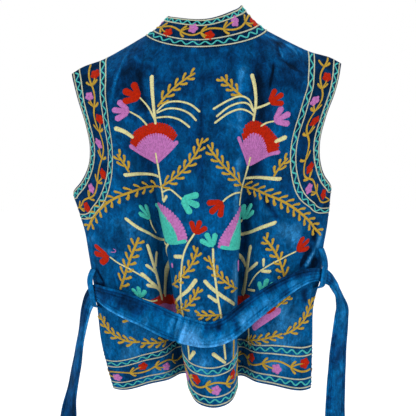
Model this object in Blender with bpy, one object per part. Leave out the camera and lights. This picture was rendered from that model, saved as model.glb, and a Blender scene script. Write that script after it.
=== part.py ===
"""Sleeveless velvet jacket with a stand collar and a loose belt, hollow and filled out as it is worn.

The wearer faces +Y, so the back of the garment is at -Y and the wearer's right is at +X. The origin
is at the base of the neck, midway between the two points where neckline and shoulder seam meet.
Sizes are millimetres, and each piece is written to its mesh in metres. Every cloth piece is a grid
of points on the middle of the cloth, with rows from the top edge down and columns from a side seam
to the middle, thickened along its normals into a closed wall.
"""

import math

import bpy
import numpy as np

METRES = 0.001  # one millimetre in metres

# Cloth
BODY_CLOTH = 2.5
COLLAR_CLOTH = 3.0
LOOP_CLOTH = 2.0
SEAM_GAP = 0.36  # between the cut edges of two pieces that are sewn together
LAID_GAP = 0.6  # between the cloth and what lies on it

# Cut, before the garment hangs askew
NECK_HALF_WIDTH = 107.0
NECK_POINT_Z = 4.0
BACK_NECK_DEPTH = 55.0
BACK_NECK_DROP = 30.0
SHOULDER_TIP_X = 238.0
SHOULDER_TIP_Z = -58.0
UNDERARM_Z = -271.0
HEM_Z = -642.0
COLLAR_BOW = 13.0  # degrees that the collar leans more at its base, and less at its top
WEARER_MIDDLE = (0.0, 15.0, 0.0)
ASKEW = 9.0  # how far each shoulder tip is off level: the wearer's right is the higher one

# Grid
PANEL_COLUMNS = 12  # from a side edge to the valley beside the back's fold, or to a front's edge
FOLD_COLUMNS = 9  # from that valley to the crest of the fold
TOP_ROWS = 16  # from the shoulders to the underarms
NECK_ROWS = 6  # of those, the ones that end on the front neckline
LOW_ROWS = 14  # from the underarms to the hem
ROW_CROWDING = 0.45  # how much closer rows are at the shoulders and underarms, where cloth turns
COLLAR_ROWS = 4
LEVEL_STEP = 8.0  # between the heights at which a section of the body is worked out
CURVE_SAMPLES = 16  # between two points that a curve goes through

# The shoulders' rounding: its reach down from the top edge, and the power of its curve at the
# shoulder's tip and beside the neck
BACK_ROUND = 85.0
FRONT_ROUND = 150.0
TIP_POWER = 0.55
BACK_NECK_POWER = 1.0
FRONT_NECK_POWER = 0.7
FRONT_OVAL = 2.3  # power of the oval that a front's section follows: 2 is an ellipse
FRONT_FOLD = 11.0  # how deep the soft folds at the hem of each front are
FRONT_FOLD_TOP_Z = -330.0

BELT_SIDES = 12
BELT_SLICE = 15.0  # length of one step along the belt
LOOP_STEPS = 10
LOOP_HALF_COLUMNS = 0.42  # half of each loop's width, in columns of the back
LOOP_SLACK = 4.0  # room for the belt to move in a loop


def table(columns, *rows):
    """The columns of a short table by name. The first one is the place that the others are read at."""
    return dict(zip(columns.split(), np.array(rows, float).T))


SHOULDER = table(
    "x     z",
    (107,  4),
    (140, -14),
    (182, -35),
    (225, -50),
    (238, -58),
)  # fmt: skip

# Half widths of the back at each height: out to its cut edge, which is the armhole down to -271 and
# the side seam below it, and out to the side of the whole hollow form.
OUTLINE = table(
    "z     left   right   form_left  form_right",
    (0,    239,   238,    239,       238),
    (-58,  239,   238,    239,       238),
    (-80,  233,   234,    239.3,     237.5),
    (-104, 225.5, 227,    239.5,     236),
    (-150, 209.5, 208,    240,       233),
    (-192, 202,   197.5,  240,       230),
    (-224, 206.5, 199,    240,       227),
    (-252, 222,   209,    239.5,     225),
    (-271, 238.5, 223,    238.5,     223),
    (-310, 227.5, 220,    227.5,     220),
    (-345, 218,   216,    218,       216),
    (-380, 212.5, 210,    212.5,     210),
    (-430, 205,   206.5,  205,       206.5),
    (-480, 198,   194,    198,       194),
    (-550, 190.5, 192,    190.5,     192),
    (-600, 179,   191,    179,       191),
    (-642, 168,   190,    168,       190),
)  # fmt: skip

# The back's section: the organ-pipe fold at its middle, and the panel at each side of it.
BACK = table(
    "z     fold_x  fold_half  crest_y  valley_y  outer_y  inner_y",
    (0,     -4,     108,      -54,     -50,      -20,     -40),
    (-60,   -8,     104,      -57,     -51,      -24,     -45),
    (-115,  -11,     96,      -60,     -51,      -38,     -52),
    (-160,  -12,     87,      -61,     -47,      -44,     -54),
    (-205,  -12.3,   79,      -61,     -38,      -44,     -53),
    (-250,  -12.5,   75,      -61,     -26,      -36,     -50),
    (-290,  -12.3,   71,      -61,     -14,      -32,     -48),
    (-375,  -6.3,    61.5,    -60,      10,      -30,     -42),
    (-460,  -1.8,    55,      -60,      30,      -27,     -34),
    (-545,   4.7,    48.5,    -61,      43,      -17,     -14),
    (-642,  12.5,    41,      -63,      50,       -8,       8),
)  # fmt: skip
BEYOND_SEAM = 30.0  # how far forward the section goes on past a side seam, which makes it round there
OUTER_SHARE = 0.30  # where outer_y and inner_y lie, as shares of the way from the edge to the valley
INNER_SHARE = 0.72
VALLEY_ROUND = 11.0  # how wide each valley's bottom is

# Half of the fold, from its valley to its crest: distance from its middle in half widths, and depth
# as a share of its whole depth, for a soft fold and for a deep one with its sides pressed together.
FOLD = table(
    "place  soft_out  soft_deep  deep_out  deep_deep",
    (0,      1.15,     1.00,      1.04,     1.00),
    (1,      0.93,     0.72,      1.05,     0.74),
    (2,      0.70,     0.38,      0.99,     0.37),
    (3,      0.40,     0.12,      0.64,     0.09),
    (4,      0.00,     0.00,      0.00,     0.00),
)  # fmt: skip
DEEP_FOLD = 70.0  # depth from which a fold has the deep form

# Height of the back's hem from the left side (-2) over the fold's crest (0) to the right side (2).
HEM = table(
    "place  z",
    (-2.0, -636),
    (-1.9, -637),
    (-1.5, -624),
    (-1.1, -621),
    (-1.0, -622),
    (-0.6, -631),
    (0.0,  -653),
    (0.6,  -632),
    (1.0,  -627),
    (1.1,  -626),
    (1.5,  -628),
    (1.9,  -638),
    (2.0,  -636),
)  # fmt: skip

# The fronts: depth of the chest, how much deeper than the back's the armhole is cut, how much the
# oval is narrower than the back's form beside the armhole, and half of the gap between the fronts.
FRONT = table(
    "z     depth  inset  narrower  gap",
    (4,      58,    0,     0,      3),
    (-58,    66,    0,     0,      3),
    (-104,   76,    8,     0,      3),
    (-150,   86,   12,     3,      4),
    (-192,   93,   14,     6,      5),
    (-224,   97,   12,     9,      6),
    (-252,   99,    4,     8,      6.5),
    (-271,  100,    0,     0,      7),
    (-290,  100,    0,     0,      7.5),
    (-400,   98,    0,     0,     11),
    (-520,  103,    0,     0,     15),
    (-642,  110,    0,     0,     20),
)  # fmt: skip
FRONT_NECK_CURVE = 1.7  # power of the front neckline: 1 is a straight V, 2 a round neck
BACK_NECK_CURVE = 1.4  # power of the back neckline's drop: 1 is a level cut, more is flat at its ends

# The collar, from the left front's end (-2) over the side (-1) and the middle of the back (0) round
# to the right front's end (2): its height along the cloth, and how much narrower its top edge is
# than the neckline, sideways and from front to back.
COLLAR = table(
    "place  height  narrow_x  narrow_y",
    (-2.0,    46,    0.36,     0.36),
    (-1.5,    49,    0.36,     0.36),
    (-1.0,    53,    0.38,     0.25),
    (-0.6,    53,    0.37,     0.13),
    (0.0,     50,    0.36,     0.13),
    (0.6,     61,    0.42,     0.13),
    (1.0,     64,    0.43,     0.25),
    (1.5,     53,    0.40,     0.36),
    (2.0,     46,    0.36,     0.36),
)  # fmt: skip

# The belt's middle line over the back, from the left loop to the right one, its width and thickness
# and the lean of its upper edge towards the cloth.
BELT_BACK = table(
    "x     y     z     wide  thick  lean",
    (-178, -38, -461.5, 37,  7.5,   0),
    (-153, -48, -470,  43,   6.5,   4),
    (-101, -61, -489,  47,   5.5,   8),
    (-60,  -69, -506.5, 48,  5,    12),
    (-29,  -74, -515,  47,   5,    14),
    (1,    -76, -520,  44,   5.5,  16),
    (32,   -76, -512,  43,   5.5,  16),
    (79,   -69, -477,  41,   5.5,  12),
    (126,  -59, -445.5, 35.5, 6,    8),
    (170,  -44, -425,  28.5, 7.5,   0),
)  # fmt: skip
BELT_SEAM_X = -47.0  # where the belt's two lengths are joined

# The belt's two loose ends, from just outside each loop down. "out" and "front" give the way that
# its former upper edge points once it hangs, sideways from the body and towards the wearer's front.
LEFT_TAIL = table(
    "x     y     z     wide  thick  out   front  up",
    (-214,   7, -475,  32,   8,    0.57,  0.63,  0.53),
    (-220,  12, -491,  32,   7.5,  0.6,   0.78,  0.17),
    (-224.5, 15, -511, 36,   6.5,  0.5,   0.85,  0),
    (-230.5, 16, -544, 42,   5.5,  0.37,  0.91,  0),
    (-239.5, 17, -596, 48,   5,    0.42,  0.88,  0),
    (-249.5, 18, -650, 50,   5,    0.46,  0.86,  0),
    (-256,  19, -694,  50,   5,    0.67,  0.71,  0),
    (-261,  20, -745,  50,   5,    0.72,  0.65,  0),
    (-264,  19, -818,  50,   5,    0.71,  0.65,  0),
    (-264,  18, -895,  50,   5,    0.71,  0.64,  0),
)  # fmt: skip
RIGHT_TAIL = table(
    "x     y     z     wide  thick  out   front  up",
    (225,    7, -437,  28,   8,    0.36,  0.8,   0.48),
    (234,   12, -450,  28,   8,    0.43,  0.86,  0.28),
    (241,   15, -463,  30,   7,    0.43,  0.9,   0.05),
    (245,   17, -477,  36,   6,    0.52,  0.85,  0),
    (249,   19, -495,  42,   5,    0.67,  0.73,  0),
    (248,   20, -518,  46,   5,    0.68,  0.72,  0),
    (244,   20, -560,  49,   5,    0.71,  0.69,  0),
    (241,   20, -620,  50,   5,    0.75,  0.64,  0),
    (239,   20, -681,  50,   5,    0.79,  0.58,  0),
    (240,   20, -750,  50,   5,    0.82,  0.54,  0),
    (241,   19, -825,  50,   5,    0.82,  0.53,  0),
    (243,   18, -889,  50,   5,    0.82,  0.52,  0),
)  # fmt: skip

# Each loop: where it is sewn on above and below, how high the belt goes through it, in how many
# columns of the back from the side seam it is and the belt's width in it.
LOOPS = table(
    "side  top_z  low_z  belt_z  column  wide",
    (-1,   -416,  -484,  -458,   0.52,   31),
    (1,    -378,  -448,  -425,   0.55,  24),
)  # fmt: skip
BELT_IN_LOOP = 8.0  # thickness of the belt where a loop squeezes it

VELVET_BLUE = (0.008, 0.066, 0.22)
BELT_BLUE = (0.014, 0.085, 0.25)


def read(columns, name, at):
    """A smooth curve through one column of a table, read at one place or an array of places."""
    place = columns[next(iter(columns))]
    order = np.argsort(place)
    place, value = place[order], columns[name][order]
    slope = np.gradient(value, place)
    at = np.clip(at, place[0], place[-1])
    k = np.clip(np.searchsorted(place, at) - 1, 0, len(place) - 2)
    step = place[k + 1] - place[k]
    t = (at - place[k]) / step
    return (
        (1 + 2 * t) * (1 - t) ** 2 * value[k]
        + t * (1 - t) ** 2 * step * slope[k]
        + t**2 * (3 - 2 * t) * value[k + 1]
        + t**2 * (t - 1) * step * slope[k + 1]
    )


def smoothstep(t):
    t = np.clip(t, 0, 1)
    return t * t * (3 - 2 * t)


def round_over(t, power):
    """0 to 1 on a quarter circle where the power is 0.5, and on a parabola where it is 1."""
    return np.maximum(1 - (1 - np.clip(t, 0, 1)) ** 2, 0) ** power


def unit(vectors):
    return vectors / np.maximum(np.linalg.norm(vectors, axis=-1, keepdims=True), 1e-9)


def curve_through(points):
    """A centripetal Catmull-Rom curve through all but the first and last points, which only steer it."""
    t = np.concatenate([[0], np.cumsum(np.linalg.norm(np.diff(points, axis=0), axis=1) ** 0.5)])
    share = np.arange(CURVE_SAMPLES) / CURVE_SAMPLES
    pieces = []
    for k in range(1, len(points) - 2):
        at = (t[k] + (t[k + 1] - t[k]) * share)[:, None]
        near = [lerp_at(points, t, n, n + 1, at) for n in (k - 1, k, k + 1)]
        early = ((t[k + 1] - at) * near[0] + (at - t[k - 1]) * near[1]) / (t[k + 1] - t[k - 1])
        late = ((t[k + 2] - at) * near[1] + (at - t[k]) * near[2]) / (t[k + 2] - t[k])
        pieces.append(((t[k + 1] - at) * early + (at - t[k]) * late) / (t[k + 1] - t[k]))
    return np.vstack([*pieces, points[-2:-1]])


def lerp_at(points, t, a, b, at):
    return ((t[b] - at) * points[a] + (at - t[a]) * points[b]) / (t[b] - t[a])


def length_along(curve):
    return np.concatenate([[0], np.cumsum(np.linalg.norm(np.diff(curve, axis=0), axis=1))])


def evenly(curve, first, last, steps):
    """Evenly spaced points along a dense curve, from the length first to the length last."""
    along = length_along(curve)
    places = np.linspace(first, last, steps + 1)
    return np.stack([np.interp(places, along, column) for column in curve.T], -1)


def heights(top, hem):
    """The height of every row below each point of the top edge, down to the same column's hem."""
    even = np.linspace(0, 1, TOP_ROWS + 1)[:, None]
    upper = even + (smoothstep(even) - even) * ROW_CROWDING
    lower = np.linspace(0, 1, LOW_ROWS + 1)[1:, None]
    return np.vstack([top + (UNDERARM_Z - top) * upper, UNDERARM_Z + (hem - UNDERARM_Z) * lower])


def hang_askew(points):
    """Lifts the wearer's right and lowers the left, fully at the shoulders and not at all at the hem."""
    share = np.clip((points[..., 2] - HEM_Z) / (SHOULDER_TIP_Z - HEM_Z), 0, 1)
    moved = points.copy()
    moved[..., 2] += ASKEW * share * points[..., 0] / SHOULDER_TIP_X
    return moved


def levels():
    return np.arange(NECK_POINT_Z, HEM_Z - 4 * LEVEL_STEP, -LEVEL_STEP)


def at_height(sections, z):
    """Reads each column of the sections at the heights z, which has a row of them for each row."""
    return np.stack(
        [np.interp(-z[:, k], -levels(), sections[:, k]) for k in range(z.shape[1])], axis=1
    )


# --- the back ---


def back_section(z):
    """The back's section at one height, as evenly spaced points between its edges and fold lines."""
    row = {name: float(read(BACK, name, z)) for name in BACK}
    edge = {name: float(read(OUTLINE, name, z)) for name in OUTLINE}
    depth = row["valley_y"] - row["crest_y"]
    deep = smoothstep(depth / DEEP_FOLD)
    out = FOLD["soft_out"] + (FOLD["deep_out"] - FOLD["soft_out"]) * deep
    back = FOLD["soft_deep"] + (FOLD["deep_deep"] - FOLD["soft_deep"]) * deep
    halves = []
    for side, form in ((-1, edge["form_left"]), (1, edge["form_right"])):
        fold = np.stack([row["fold_x"] + side * out * row["fold_half"], row["crest_y"] + depth * back], -1)
        seam = np.array([side * form, 0.0])
        panel = [
            [seam[0] + (fold[0, 0] - seam[0]) * share, y]
            for share, y in ((OUTER_SHARE, row["outer_y"]), (INNER_SHARE, row["inner_y"]))
        ]
        bottom = fold[0] + (side * VALLEY_ROUND, 0)
        halves.append(np.vstack([seam + (0, BEYOND_SEAM), seam, panel, bottom, fold]))
    left, right = halves
    curve = curve_through(np.vstack([left, right[-2::-1]]))
    along = length_along(curve)
    to_valley, to_crest = 7 * CURVE_SAMPLES // 2, 8 * CURVE_SAMPLES
    cuts = [
        np.interp(-edge["left"], curve[:to_valley, 0], along[:to_valley]),
        along[to_valley],
        along[to_crest],
        along[-1 - to_valley],
        np.interp(edge["right"], curve[-to_valley:, 0], along[-to_valley:]),
    ]
    steps = (PANEL_COLUMNS, FOLD_COLUMNS, FOLD_COLUMNS, PANEL_COLUMNS)
    stretches = [evenly(curve, *ends, n) for *ends, n in zip(cuts, cuts[1:], steps)]
    return np.vstack([stretches[0], *(stretch[1:] for stretch in stretches[1:])])


def back_top_edge():
    """The shoulder seams and the back neckline between them, as one row of points."""
    shoulder_x = np.linspace(SHOULDER_TIP_X, NECK_HALF_WIDTH, PANEL_COLUMNS + 1)
    shoulder_z = read(SHOULDER, "z", shoulder_x)
    shoulder = np.stack([-shoulder_x, 0 * shoulder_x, shoulder_z], -1)
    angle = np.linspace(-math.pi / 2, math.pi / 2, 2 * FOLD_COLUMNS + 1)[1:-1]
    neck = np.stack(
        [
            NECK_HALF_WIDTH * np.sin(angle),
            -BACK_NECK_DEPTH * np.cos(angle),
            NECK_POINT_Z - BACK_NECK_DROP * np.cos(angle) ** BACK_NECK_CURVE,
        ],
        -1,
    )
    return np.vstack([shoulder, neck, (shoulder * (-1, 1, 1))[::-1]])


def back_grid():
    top = back_top_edge()
    panel = np.linspace(-2, -1, PANEL_COLUMNS + 1)
    fold = np.linspace(-1, 0, FOLD_COLUMNS + 1)[1:]
    place = np.concatenate([panel, fold, -fold[-2::-1], -panel[::-1]])
    z = heights(top[:, 2], read(HEM, "z", place))
    sections = np.stack([back_section(level) for level in levels()])
    x, y = at_height(sections[..., 0], z), at_height(sections[..., 1], z)
    power = TIP_POWER + (BACK_NECK_POWER - TIP_POWER) * np.clip(2 - np.abs(place), 0, 1)
    fade = 1 - round_over((top[:, 2] - z) / BACK_ROUND, power)
    x += (top[:, 0] - x[0]) * fade
    y += (top[:, 1] - y[0]) * fade
    return hang_askew(np.stack([x, y, z], -1))


# --- the fronts ---


def neck_gap(z):
    """Half of the opening between the fronts: the neckline down to its lowest point, then the gap."""
    neck_z = heights(np.array([NECK_POINT_Z]), HEM_Z)[NECK_ROWS, 0]
    share = np.clip((NECK_POINT_Z - z) / (NECK_POINT_Z - neck_z), 0, 1)
    gap = float(read(FRONT, "gap", z))
    return gap + (NECK_HALF_WIDTH - gap) * (1 - share**FRONT_NECK_CURVE)


def front_section(z, side):
    """A front's section at one height, from its armhole or side seam to its inner edge."""
    name = "left" if side < 0 else "right"
    edge = float(read(OUTLINE, name, z) - read(FRONT, "inset", z))
    oval = float(read(OUTLINE, "form_" + name, z) - read(FRONT, "narrower", z))
    angle = np.linspace(0, math.pi / 2, 120)
    curve = np.stack(
        [
            oval * np.cos(angle) ** (2 / FRONT_OVAL),
            float(read(FRONT, "depth", z)) * np.sin(angle) ** (2 / FRONT_OVAL),
        ],
        -1,
    )
    along = length_along(curve)
    first, last = np.interp([-edge, -neck_gap(z)], -curve[:, 0], along)
    return evenly(curve, first, last, PANEL_COLUMNS) * (side, 1)


def front_grid(side):
    top_x = np.linspace(SHOULDER_TIP_X, NECK_HALF_WIDTH, PANEL_COLUMNS + 1)
    top_z = read(SHOULDER, "z", top_x)
    share = np.linspace(0, 1, PANEL_COLUMNS + 1)
    side_hem = float(read(HEM, "z", 2.0 * side))
    z = heights(top_z, np.full(PANEL_COLUMNS + 1, side_hem))
    sections = np.stack([front_section(level, side) for level in levels()])
    x, y = at_height(sections[..., 0], z), at_height(sections[..., 1], z)
    power = TIP_POWER + (FRONT_NECK_POWER - TIP_POWER) * share
    grown = round_over((top_z - z) / FRONT_ROUND, power)
    x += (side * top_x - x[0]) * (1 - grown)
    y *= grown
    swell = smoothstep((FRONT_FOLD_TOP_Z - z) / (FRONT_FOLD_TOP_Z - HEM_Z))
    phase = 0.3 if side < 0 else 1.1
    waves = np.sin(math.pi * share) * np.sin(3.2 * math.pi * share + phase)
    y += FRONT_FOLD * swell * waves
    return hang_askew(np.stack([x, y, z], -1))


# --- the collar ---


def neckline(grids):
    """The whole neckline from the left front's edge round the back of the neck to the right front's."""
    left = grids["front_left"][NECK_ROWS:0:-1, -1]
    back = grids["back"][0, PANEL_COLUMNS : PANEL_COLUMNS + 2 * FOLD_COLUMNS + 1]
    right = grids["front_right"][1 : NECK_ROWS + 1, -1]
    return np.vstack([left, back, right])


def collar_grid(grids):
    """The collar's rows from its top edge down to the neckline, which leans inwards all round."""
    base = neckline(grids)
    front = np.linspace(-2, -1, NECK_ROWS + 1)[:-1]
    back = np.linspace(-1, 1, 2 * FOLD_COLUMNS + 1)
    place = np.concatenate([front, back, -front[::-1]])
    height = read(COLLAR, "height", place)
    share = [read(COLLAR, "narrow_x", place), read(COLLAR, "narrow_y", place), 0 * place]
    narrower = -base * np.stack(share, -1)
    inward = unit(narrower)
    lean = np.degrees(np.arcsin(np.linalg.norm(narrower, axis=1) / height))
    rows = [base]
    for k in range(COLLAR_ROWS):
        bow = COLLAR_BOW * (1 - 2 * (k + 0.5) / COLLAR_ROWS)
        angle = np.radians(lean + bow)[:, None]
        rise = np.sin(angle) * inward + np.cos(angle) * np.array([0, 0, 1])
        rows.append(rows[-1] + height[:, None] / COLLAR_ROWS * rise)
    return np.stack(rows[::-1])


# --- walls and their seams ---


def grid_normals(grid):
    """Unit normals of a grid, each the mean of the ones of the squares around its point."""
    down, across = np.diff(grid, axis=0), np.diff(grid, axis=1)
    squares = unit(np.cross(down[:, :-1] + down[:, 1:], across[:-1] + across[1:]))
    total = np.zeros_like(grid)
    for rows in (slice(None, -1), slice(1, None)):
        for columns in (slice(None, -1), slice(1, None)):
            total[rows, columns] += squares
    return unit(total)


def outward_normals(grid):
    """The grid's normals, all turned to the side that faces away from the wearer."""
    normals = grid_normals(grid)
    away = (grid - WEARER_MIDDLE) * (1, 1, 0)
    return normals * np.sign(np.sum(normals * away))


def seam_points():
    """Every seam point, as the places (piece, row, column) that meet there."""
    seams = []
    last_back = 2 * (PANEL_COLUMNS + FOLD_COLUMNS)
    for row in range(TOP_ROWS, TOP_ROWS + LOW_ROWS + 1):
        seams.append([("back", row, 0), ("front_left", row, 0)])
        seams.append([("back", row, last_back), ("front_right", row, 0)])
    for column in range(PANEL_COLUMNS + 1):
        neck = column == PANEL_COLUMNS
        left = [("collar", COLLAR_ROWS, NECK_ROWS)] * neck
        right = [("collar", COLLAR_ROWS, NECK_ROWS + 2 * FOLD_COLUMNS)] * neck
        seams.append([("back", 0, column), ("front_left", 0, column), *left])
        seams.append([("back", 0, last_back - column), ("front_right", 0, column), *right])
    for k in range(1, 2 * FOLD_COLUMNS):
        seams.append([("back", 0, PANEL_COLUMNS + k), ("collar", COLLAR_ROWS, NECK_ROWS + k)])
    for k in range(1, NECK_ROWS + 1):
        left, right = NECK_ROWS - k, NECK_ROWS + 2 * FOLD_COLUMNS + k
        seams.append([("front_left", k, PANEL_COLUMNS), ("collar", COLLAR_ROWS, left)])
        seams.append([("front_right", k, PANEL_COLUMNS), ("collar", COLLAR_ROWS, right)])
    return seams


def join_seams(grids, normals):
    """Gives pieces that meet one shared normal at each seam point and draws each half a gap back."""
    drawn = {name: grid.copy() for name, grid in grids.items()}
    for places in seam_points():
        shared = unit(sum(normals[name][row, column] for name, row, column in places))
        for name, row, column in places:
            normals[name][row, column] = shared
    last_back = 2 * (PANEL_COLUMNS + FOLD_COLUMNS)
    low = slice(TOP_ROWS, None)
    neck = slice(0, NECK_ROWS + 1)
    draw_back(drawn["back"], grids["back"], (low, 0), (low, 1))
    draw_back(drawn["back"], grids["back"], (low, last_back), (low, last_back - 1))
    draw_back(drawn["back"], grids["back"], (0,), (1,))
    draw_back(drawn["collar"], grids["collar"], (COLLAR_ROWS,), (COLLAR_ROWS - 1,))
    for name in ("front_left", "front_right"):
        draw_back(drawn[name], grids[name], (low, 0), (low, 1))
        draw_back(drawn[name], grids[name], (0,), (1,))
        draw_back(drawn[name], grids[name], (neck, PANEL_COLUMNS), (neck, PANEL_COLUMNS - 1))
    return drawn


def draw_back(drawn, grid, edge, within):
    drawn[edge] += SEAM_GAP / 2 * unit(grid[within] - grid[edge])


def wall(name, grid, normals, cloth, material):
    """A closed wall of the given thickness with its middle on the grid."""
    rows, columns = grid.shape[:2]
    number = np.arange(rows * columns).reshape(rows, columns)
    rim = np.concatenate([number[0, :-1], number[:-1, -1], number[-1, :0:-1], number[:0:-1, 0]])
    squares = np.stack(
        [number[:-1, :-1], number[1:, :-1], number[1:, 1:], number[:-1, 1:]], -1
    ).reshape(-1, 4)
    under = rows * columns
    edge = np.stack([rim, np.roll(rim, -1), np.roll(rim, -1) + under, rim + under], -1)
    faces = np.vstack([squares, squares[:, ::-1] + under, edge])
    points = np.concatenate([grid + normals * cloth / 2, grid - normals * cloth / 2]).reshape(-1, 3)
    return solid(name, points, faces.tolist(), material)


def solid(name, points, faces, material):
    """An object whose faces all point out of it, shaded smooth but for its cut edges."""
    total = 0.0
    for face in faces:
        for a, b in zip(face[1:], face[2:]):
            total += np.dot(points[face[0]], np.cross(points[a], points[b]))
    if total < 0:
        faces = [face[::-1] for face in faces]
    mesh = bpy.data.meshes.new(name)
    mesh.from_pydata((points * METRES).tolist(), [], faces)
    mesh.validate()
    mesh.shade_smooth()
    mesh.set_sharp_from_angle(angle=math.radians(50))
    mesh.materials.append(material)
    made = bpy.data.objects.new(name, mesh)
    bpy.context.scene.collection.objects.link(made)
    return made


# --- the belt and its loops ---


def on_back(back, side, column, z):
    """The point and normal of the back at a height, some columns in from its side edge."""
    grid, normals = (part[TOP_ROWS:, :: -side] for part in back)
    near = int(column)
    share = column - near
    line = (1 - share) * grid[:, near] + share * grid[:, near + 1]
    turn = (1 - share) * normals[:, near] + share * normals[:, near + 1]
    at = [[np.interp(-z, -line[:, 2], part[:, k]) for k in range(3)] for part in (line, turn)]
    return np.array(at[0]), unit(np.array(at[1]))


def loop_numbers(side):
    k = int(np.flatnonzero(LOOPS["side"] == side)[0])
    return {name: float(column[k]) for name, column in LOOPS.items()}


def loop_grid(back, side):
    """A narrow strip from its upper stitching over the belt to its lower stitching."""
    row = loop_numbers(side)
    flat = BODY_CLOTH / 2 + LAID_GAP + LOOP_CLOTH / 2
    bow = BELT_IN_LOOP + LOOP_SLACK
    clear = row["wide"] / 2 + LOOP_SLACK / 2
    columns = [row["column"] + k * LOOP_HALF_COLUMNS for k in (-1, 0, 1)]
    strips = []
    for share in np.linspace(0, 1, LOOP_STEPS + 1):
        z = row["top_z"] + (row["low_z"] - row["top_z"]) * share
        middle = on_back(back, side, columns[1], z)[1]
        above = (row["top_z"] - z) / (row["top_z"] - row["belt_z"] - clear)
        below = (z - row["low_z"]) / (row["belt_z"] - clear - row["low_z"])
        lift = middle * bow * min(round_over(above, 1), round_over(below, 0.5))
        strip = [on_back(back, side, column, z) for column in columns]
        strips.append([point + normal * flat + lift for point, normal in strip])
    return np.array(strips)


def loop_station(back, side):
    """The belt's station in a loop, where it is squeezed thick and narrow and lies on the back."""
    row = loop_numbers(side)
    z, half, column = row["belt_z"], row["wide"] / 2, row["column"]
    above, below = (on_back(back, side, column, z + rise)[0] for rise in (half, -half))
    point, normal = on_back(back, side, column, z)
    centre = point + normal * (BODY_CLOTH / 2 + LAID_GAP + BELT_IN_LOOP / 2)
    return (*centre, *unit(above - below), row["wide"], BELT_IN_LOOP)


def belt_stations(back):
    """The belt's stations from its left end to its right one: centre, upward way, width, thickness."""
    stations = []
    for k in range(len(LEFT_TAIL["x"]))[::-1]:
        stations.append(tail_station(LEFT_TAIL, k, -1))
    stations.append(loop_station(back, -1))
    for k in range(len(BELT_BACK["x"])):
        row = {name: column[k] for name, column in BELT_BACK.items()}
        lean = math.radians(row["lean"])
        up = (0, math.sin(lean), math.cos(lean))
        stations.append((row["x"], row["y"], row["z"], *up, row["wide"], row["thick"]))
    stations.append(loop_station(back, 1))
    for k in range(len(RIGHT_TAIL["x"])):
        stations.append(tail_station(RIGHT_TAIL, k, 1))
    return np.array(stations)


def tail_station(tail, k, side):
    row = {name: column[k] for name, column in tail.items()}
    up = unit(np.array([side * row["out"], row["front"], row["up"]]))
    return (row["x"], row["y"], row["z"], *up, row["wide"], row["thick"])


def belt_path(back):
    """The stations as one smooth dense path: centre, upward way, width, thickness and running way."""
    stations = belt_stations(back)
    ends = 2 * stations[[0, -1]] - stations[[1, -2]]
    path = curve_through(np.vstack([ends[:1], stations, ends[1:]]))
    run = unit(np.gradient(path[:, :3], axis=0))
    up = path[:, 3:6]
    path[:, 3:6] = unit(up - run * np.sum(up * run, axis=1, keepdims=True))
    return np.hstack([path, run])


def belt_length(name, path, first, last, material):
    """A flat padded tube along part of the path, closed at both ends."""
    steps = round((last - first) / BELT_SLICE)
    along = length_along(path[:, :3])
    places = np.linspace(first, last, steps + 1)
    read_path = np.stack([np.interp(places, along, column) for column in path.T], -1)
    centre, up, run = read_path[:, 0:3], read_path[:, 3:6], read_path[:, 8:11]
    half_width, half_thickness = read_path[:, 6:7] / 2, read_path[:, 7:8] / 2
    angle = np.arange(BELT_SIDES) * math.tau / BELT_SIDES
    wide = np.sign(np.cos(angle)) * np.abs(np.cos(angle)) ** 0.6
    thick = np.sign(np.sin(angle)) * np.abs(np.sin(angle)) ** 0.8
    rings = (
        centre[:, None]
        + up[:, None] * (half_width * wide)[..., None]
        + np.cross(up, run)[:, None] * (half_thickness * thick)[..., None]
    )
    number = np.arange(rings.shape[0] * BELT_SIDES).reshape(-1, BELT_SIDES)
    beside = np.roll(number, -1, axis=1)
    faces = np.stack([number[:-1], beside[:-1], beside[1:], number[1:]], -1).reshape(-1, 4)
    caps = [number[0][::-1].tolist(), number[-1].tolist()]
    return solid(name, rings.reshape(-1, 3), [*faces.tolist(), *caps], material)


# --- the scene ---


def velvet(name, colour, roughness):
    material = bpy.data.materials.new(name)
    material.use_nodes = True
    shader = material.node_tree.nodes["Principled BSDF"]
    shader.inputs["Base Color"].default_value = (*colour, 1)
    shader.inputs["Roughness"].default_value = roughness
    shader.inputs["Metallic"].default_value = 0.0
    return material


def main():
    for old in list(bpy.data.objects):
        bpy.data.objects.remove(old, do_unlink=True)
    body_velvet = velvet("body_velvet", VELVET_BLUE, 0.85)
    collar_velvet = velvet("collar_velvet", VELVET_BLUE, 0.85)
    belt_velvet = velvet("belt_velvet", BELT_BLUE, 0.8)

    grids = {"back": back_grid(), "front_left": front_grid(-1), "front_right": front_grid(1)}
    grids["collar"] = collar_grid(grids)
    normals = {name: outward_normals(grid) for name, grid in grids.items()}
    drawn = join_seams(grids, normals)
    for name in ("back", "front_left", "front_right"):
        wall(name, drawn[name], normals[name], BODY_CLOTH, body_velvet)
    wall("collar", drawn["collar"], normals["collar"], COLLAR_CLOTH, collar_velvet)

    back = grids["back"], normals["back"]
    for side, name in ((-1, "belt_loop_left"), (1, "belt_loop_right")):
        strip = loop_grid(back, side)
        wall(name, strip, outward_normals(strip), LOOP_CLOTH, belt_velvet)

    path = belt_path(back)
    along = length_along(path[:, :3])
    over_back = np.abs(path[:, 0]) < SHOULDER_TIP_X / 2
    seam = float(np.interp(BELT_SEAM_X, path[over_back, 0], along[over_back]))
    belt_length("belt_left", path, 0.0, seam - SEAM_GAP / 2, belt_velvet)
    belt_length("belt_right", path, seam + SEAM_GAP / 2, float(along[-1]), belt_velvet)


main()
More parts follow.
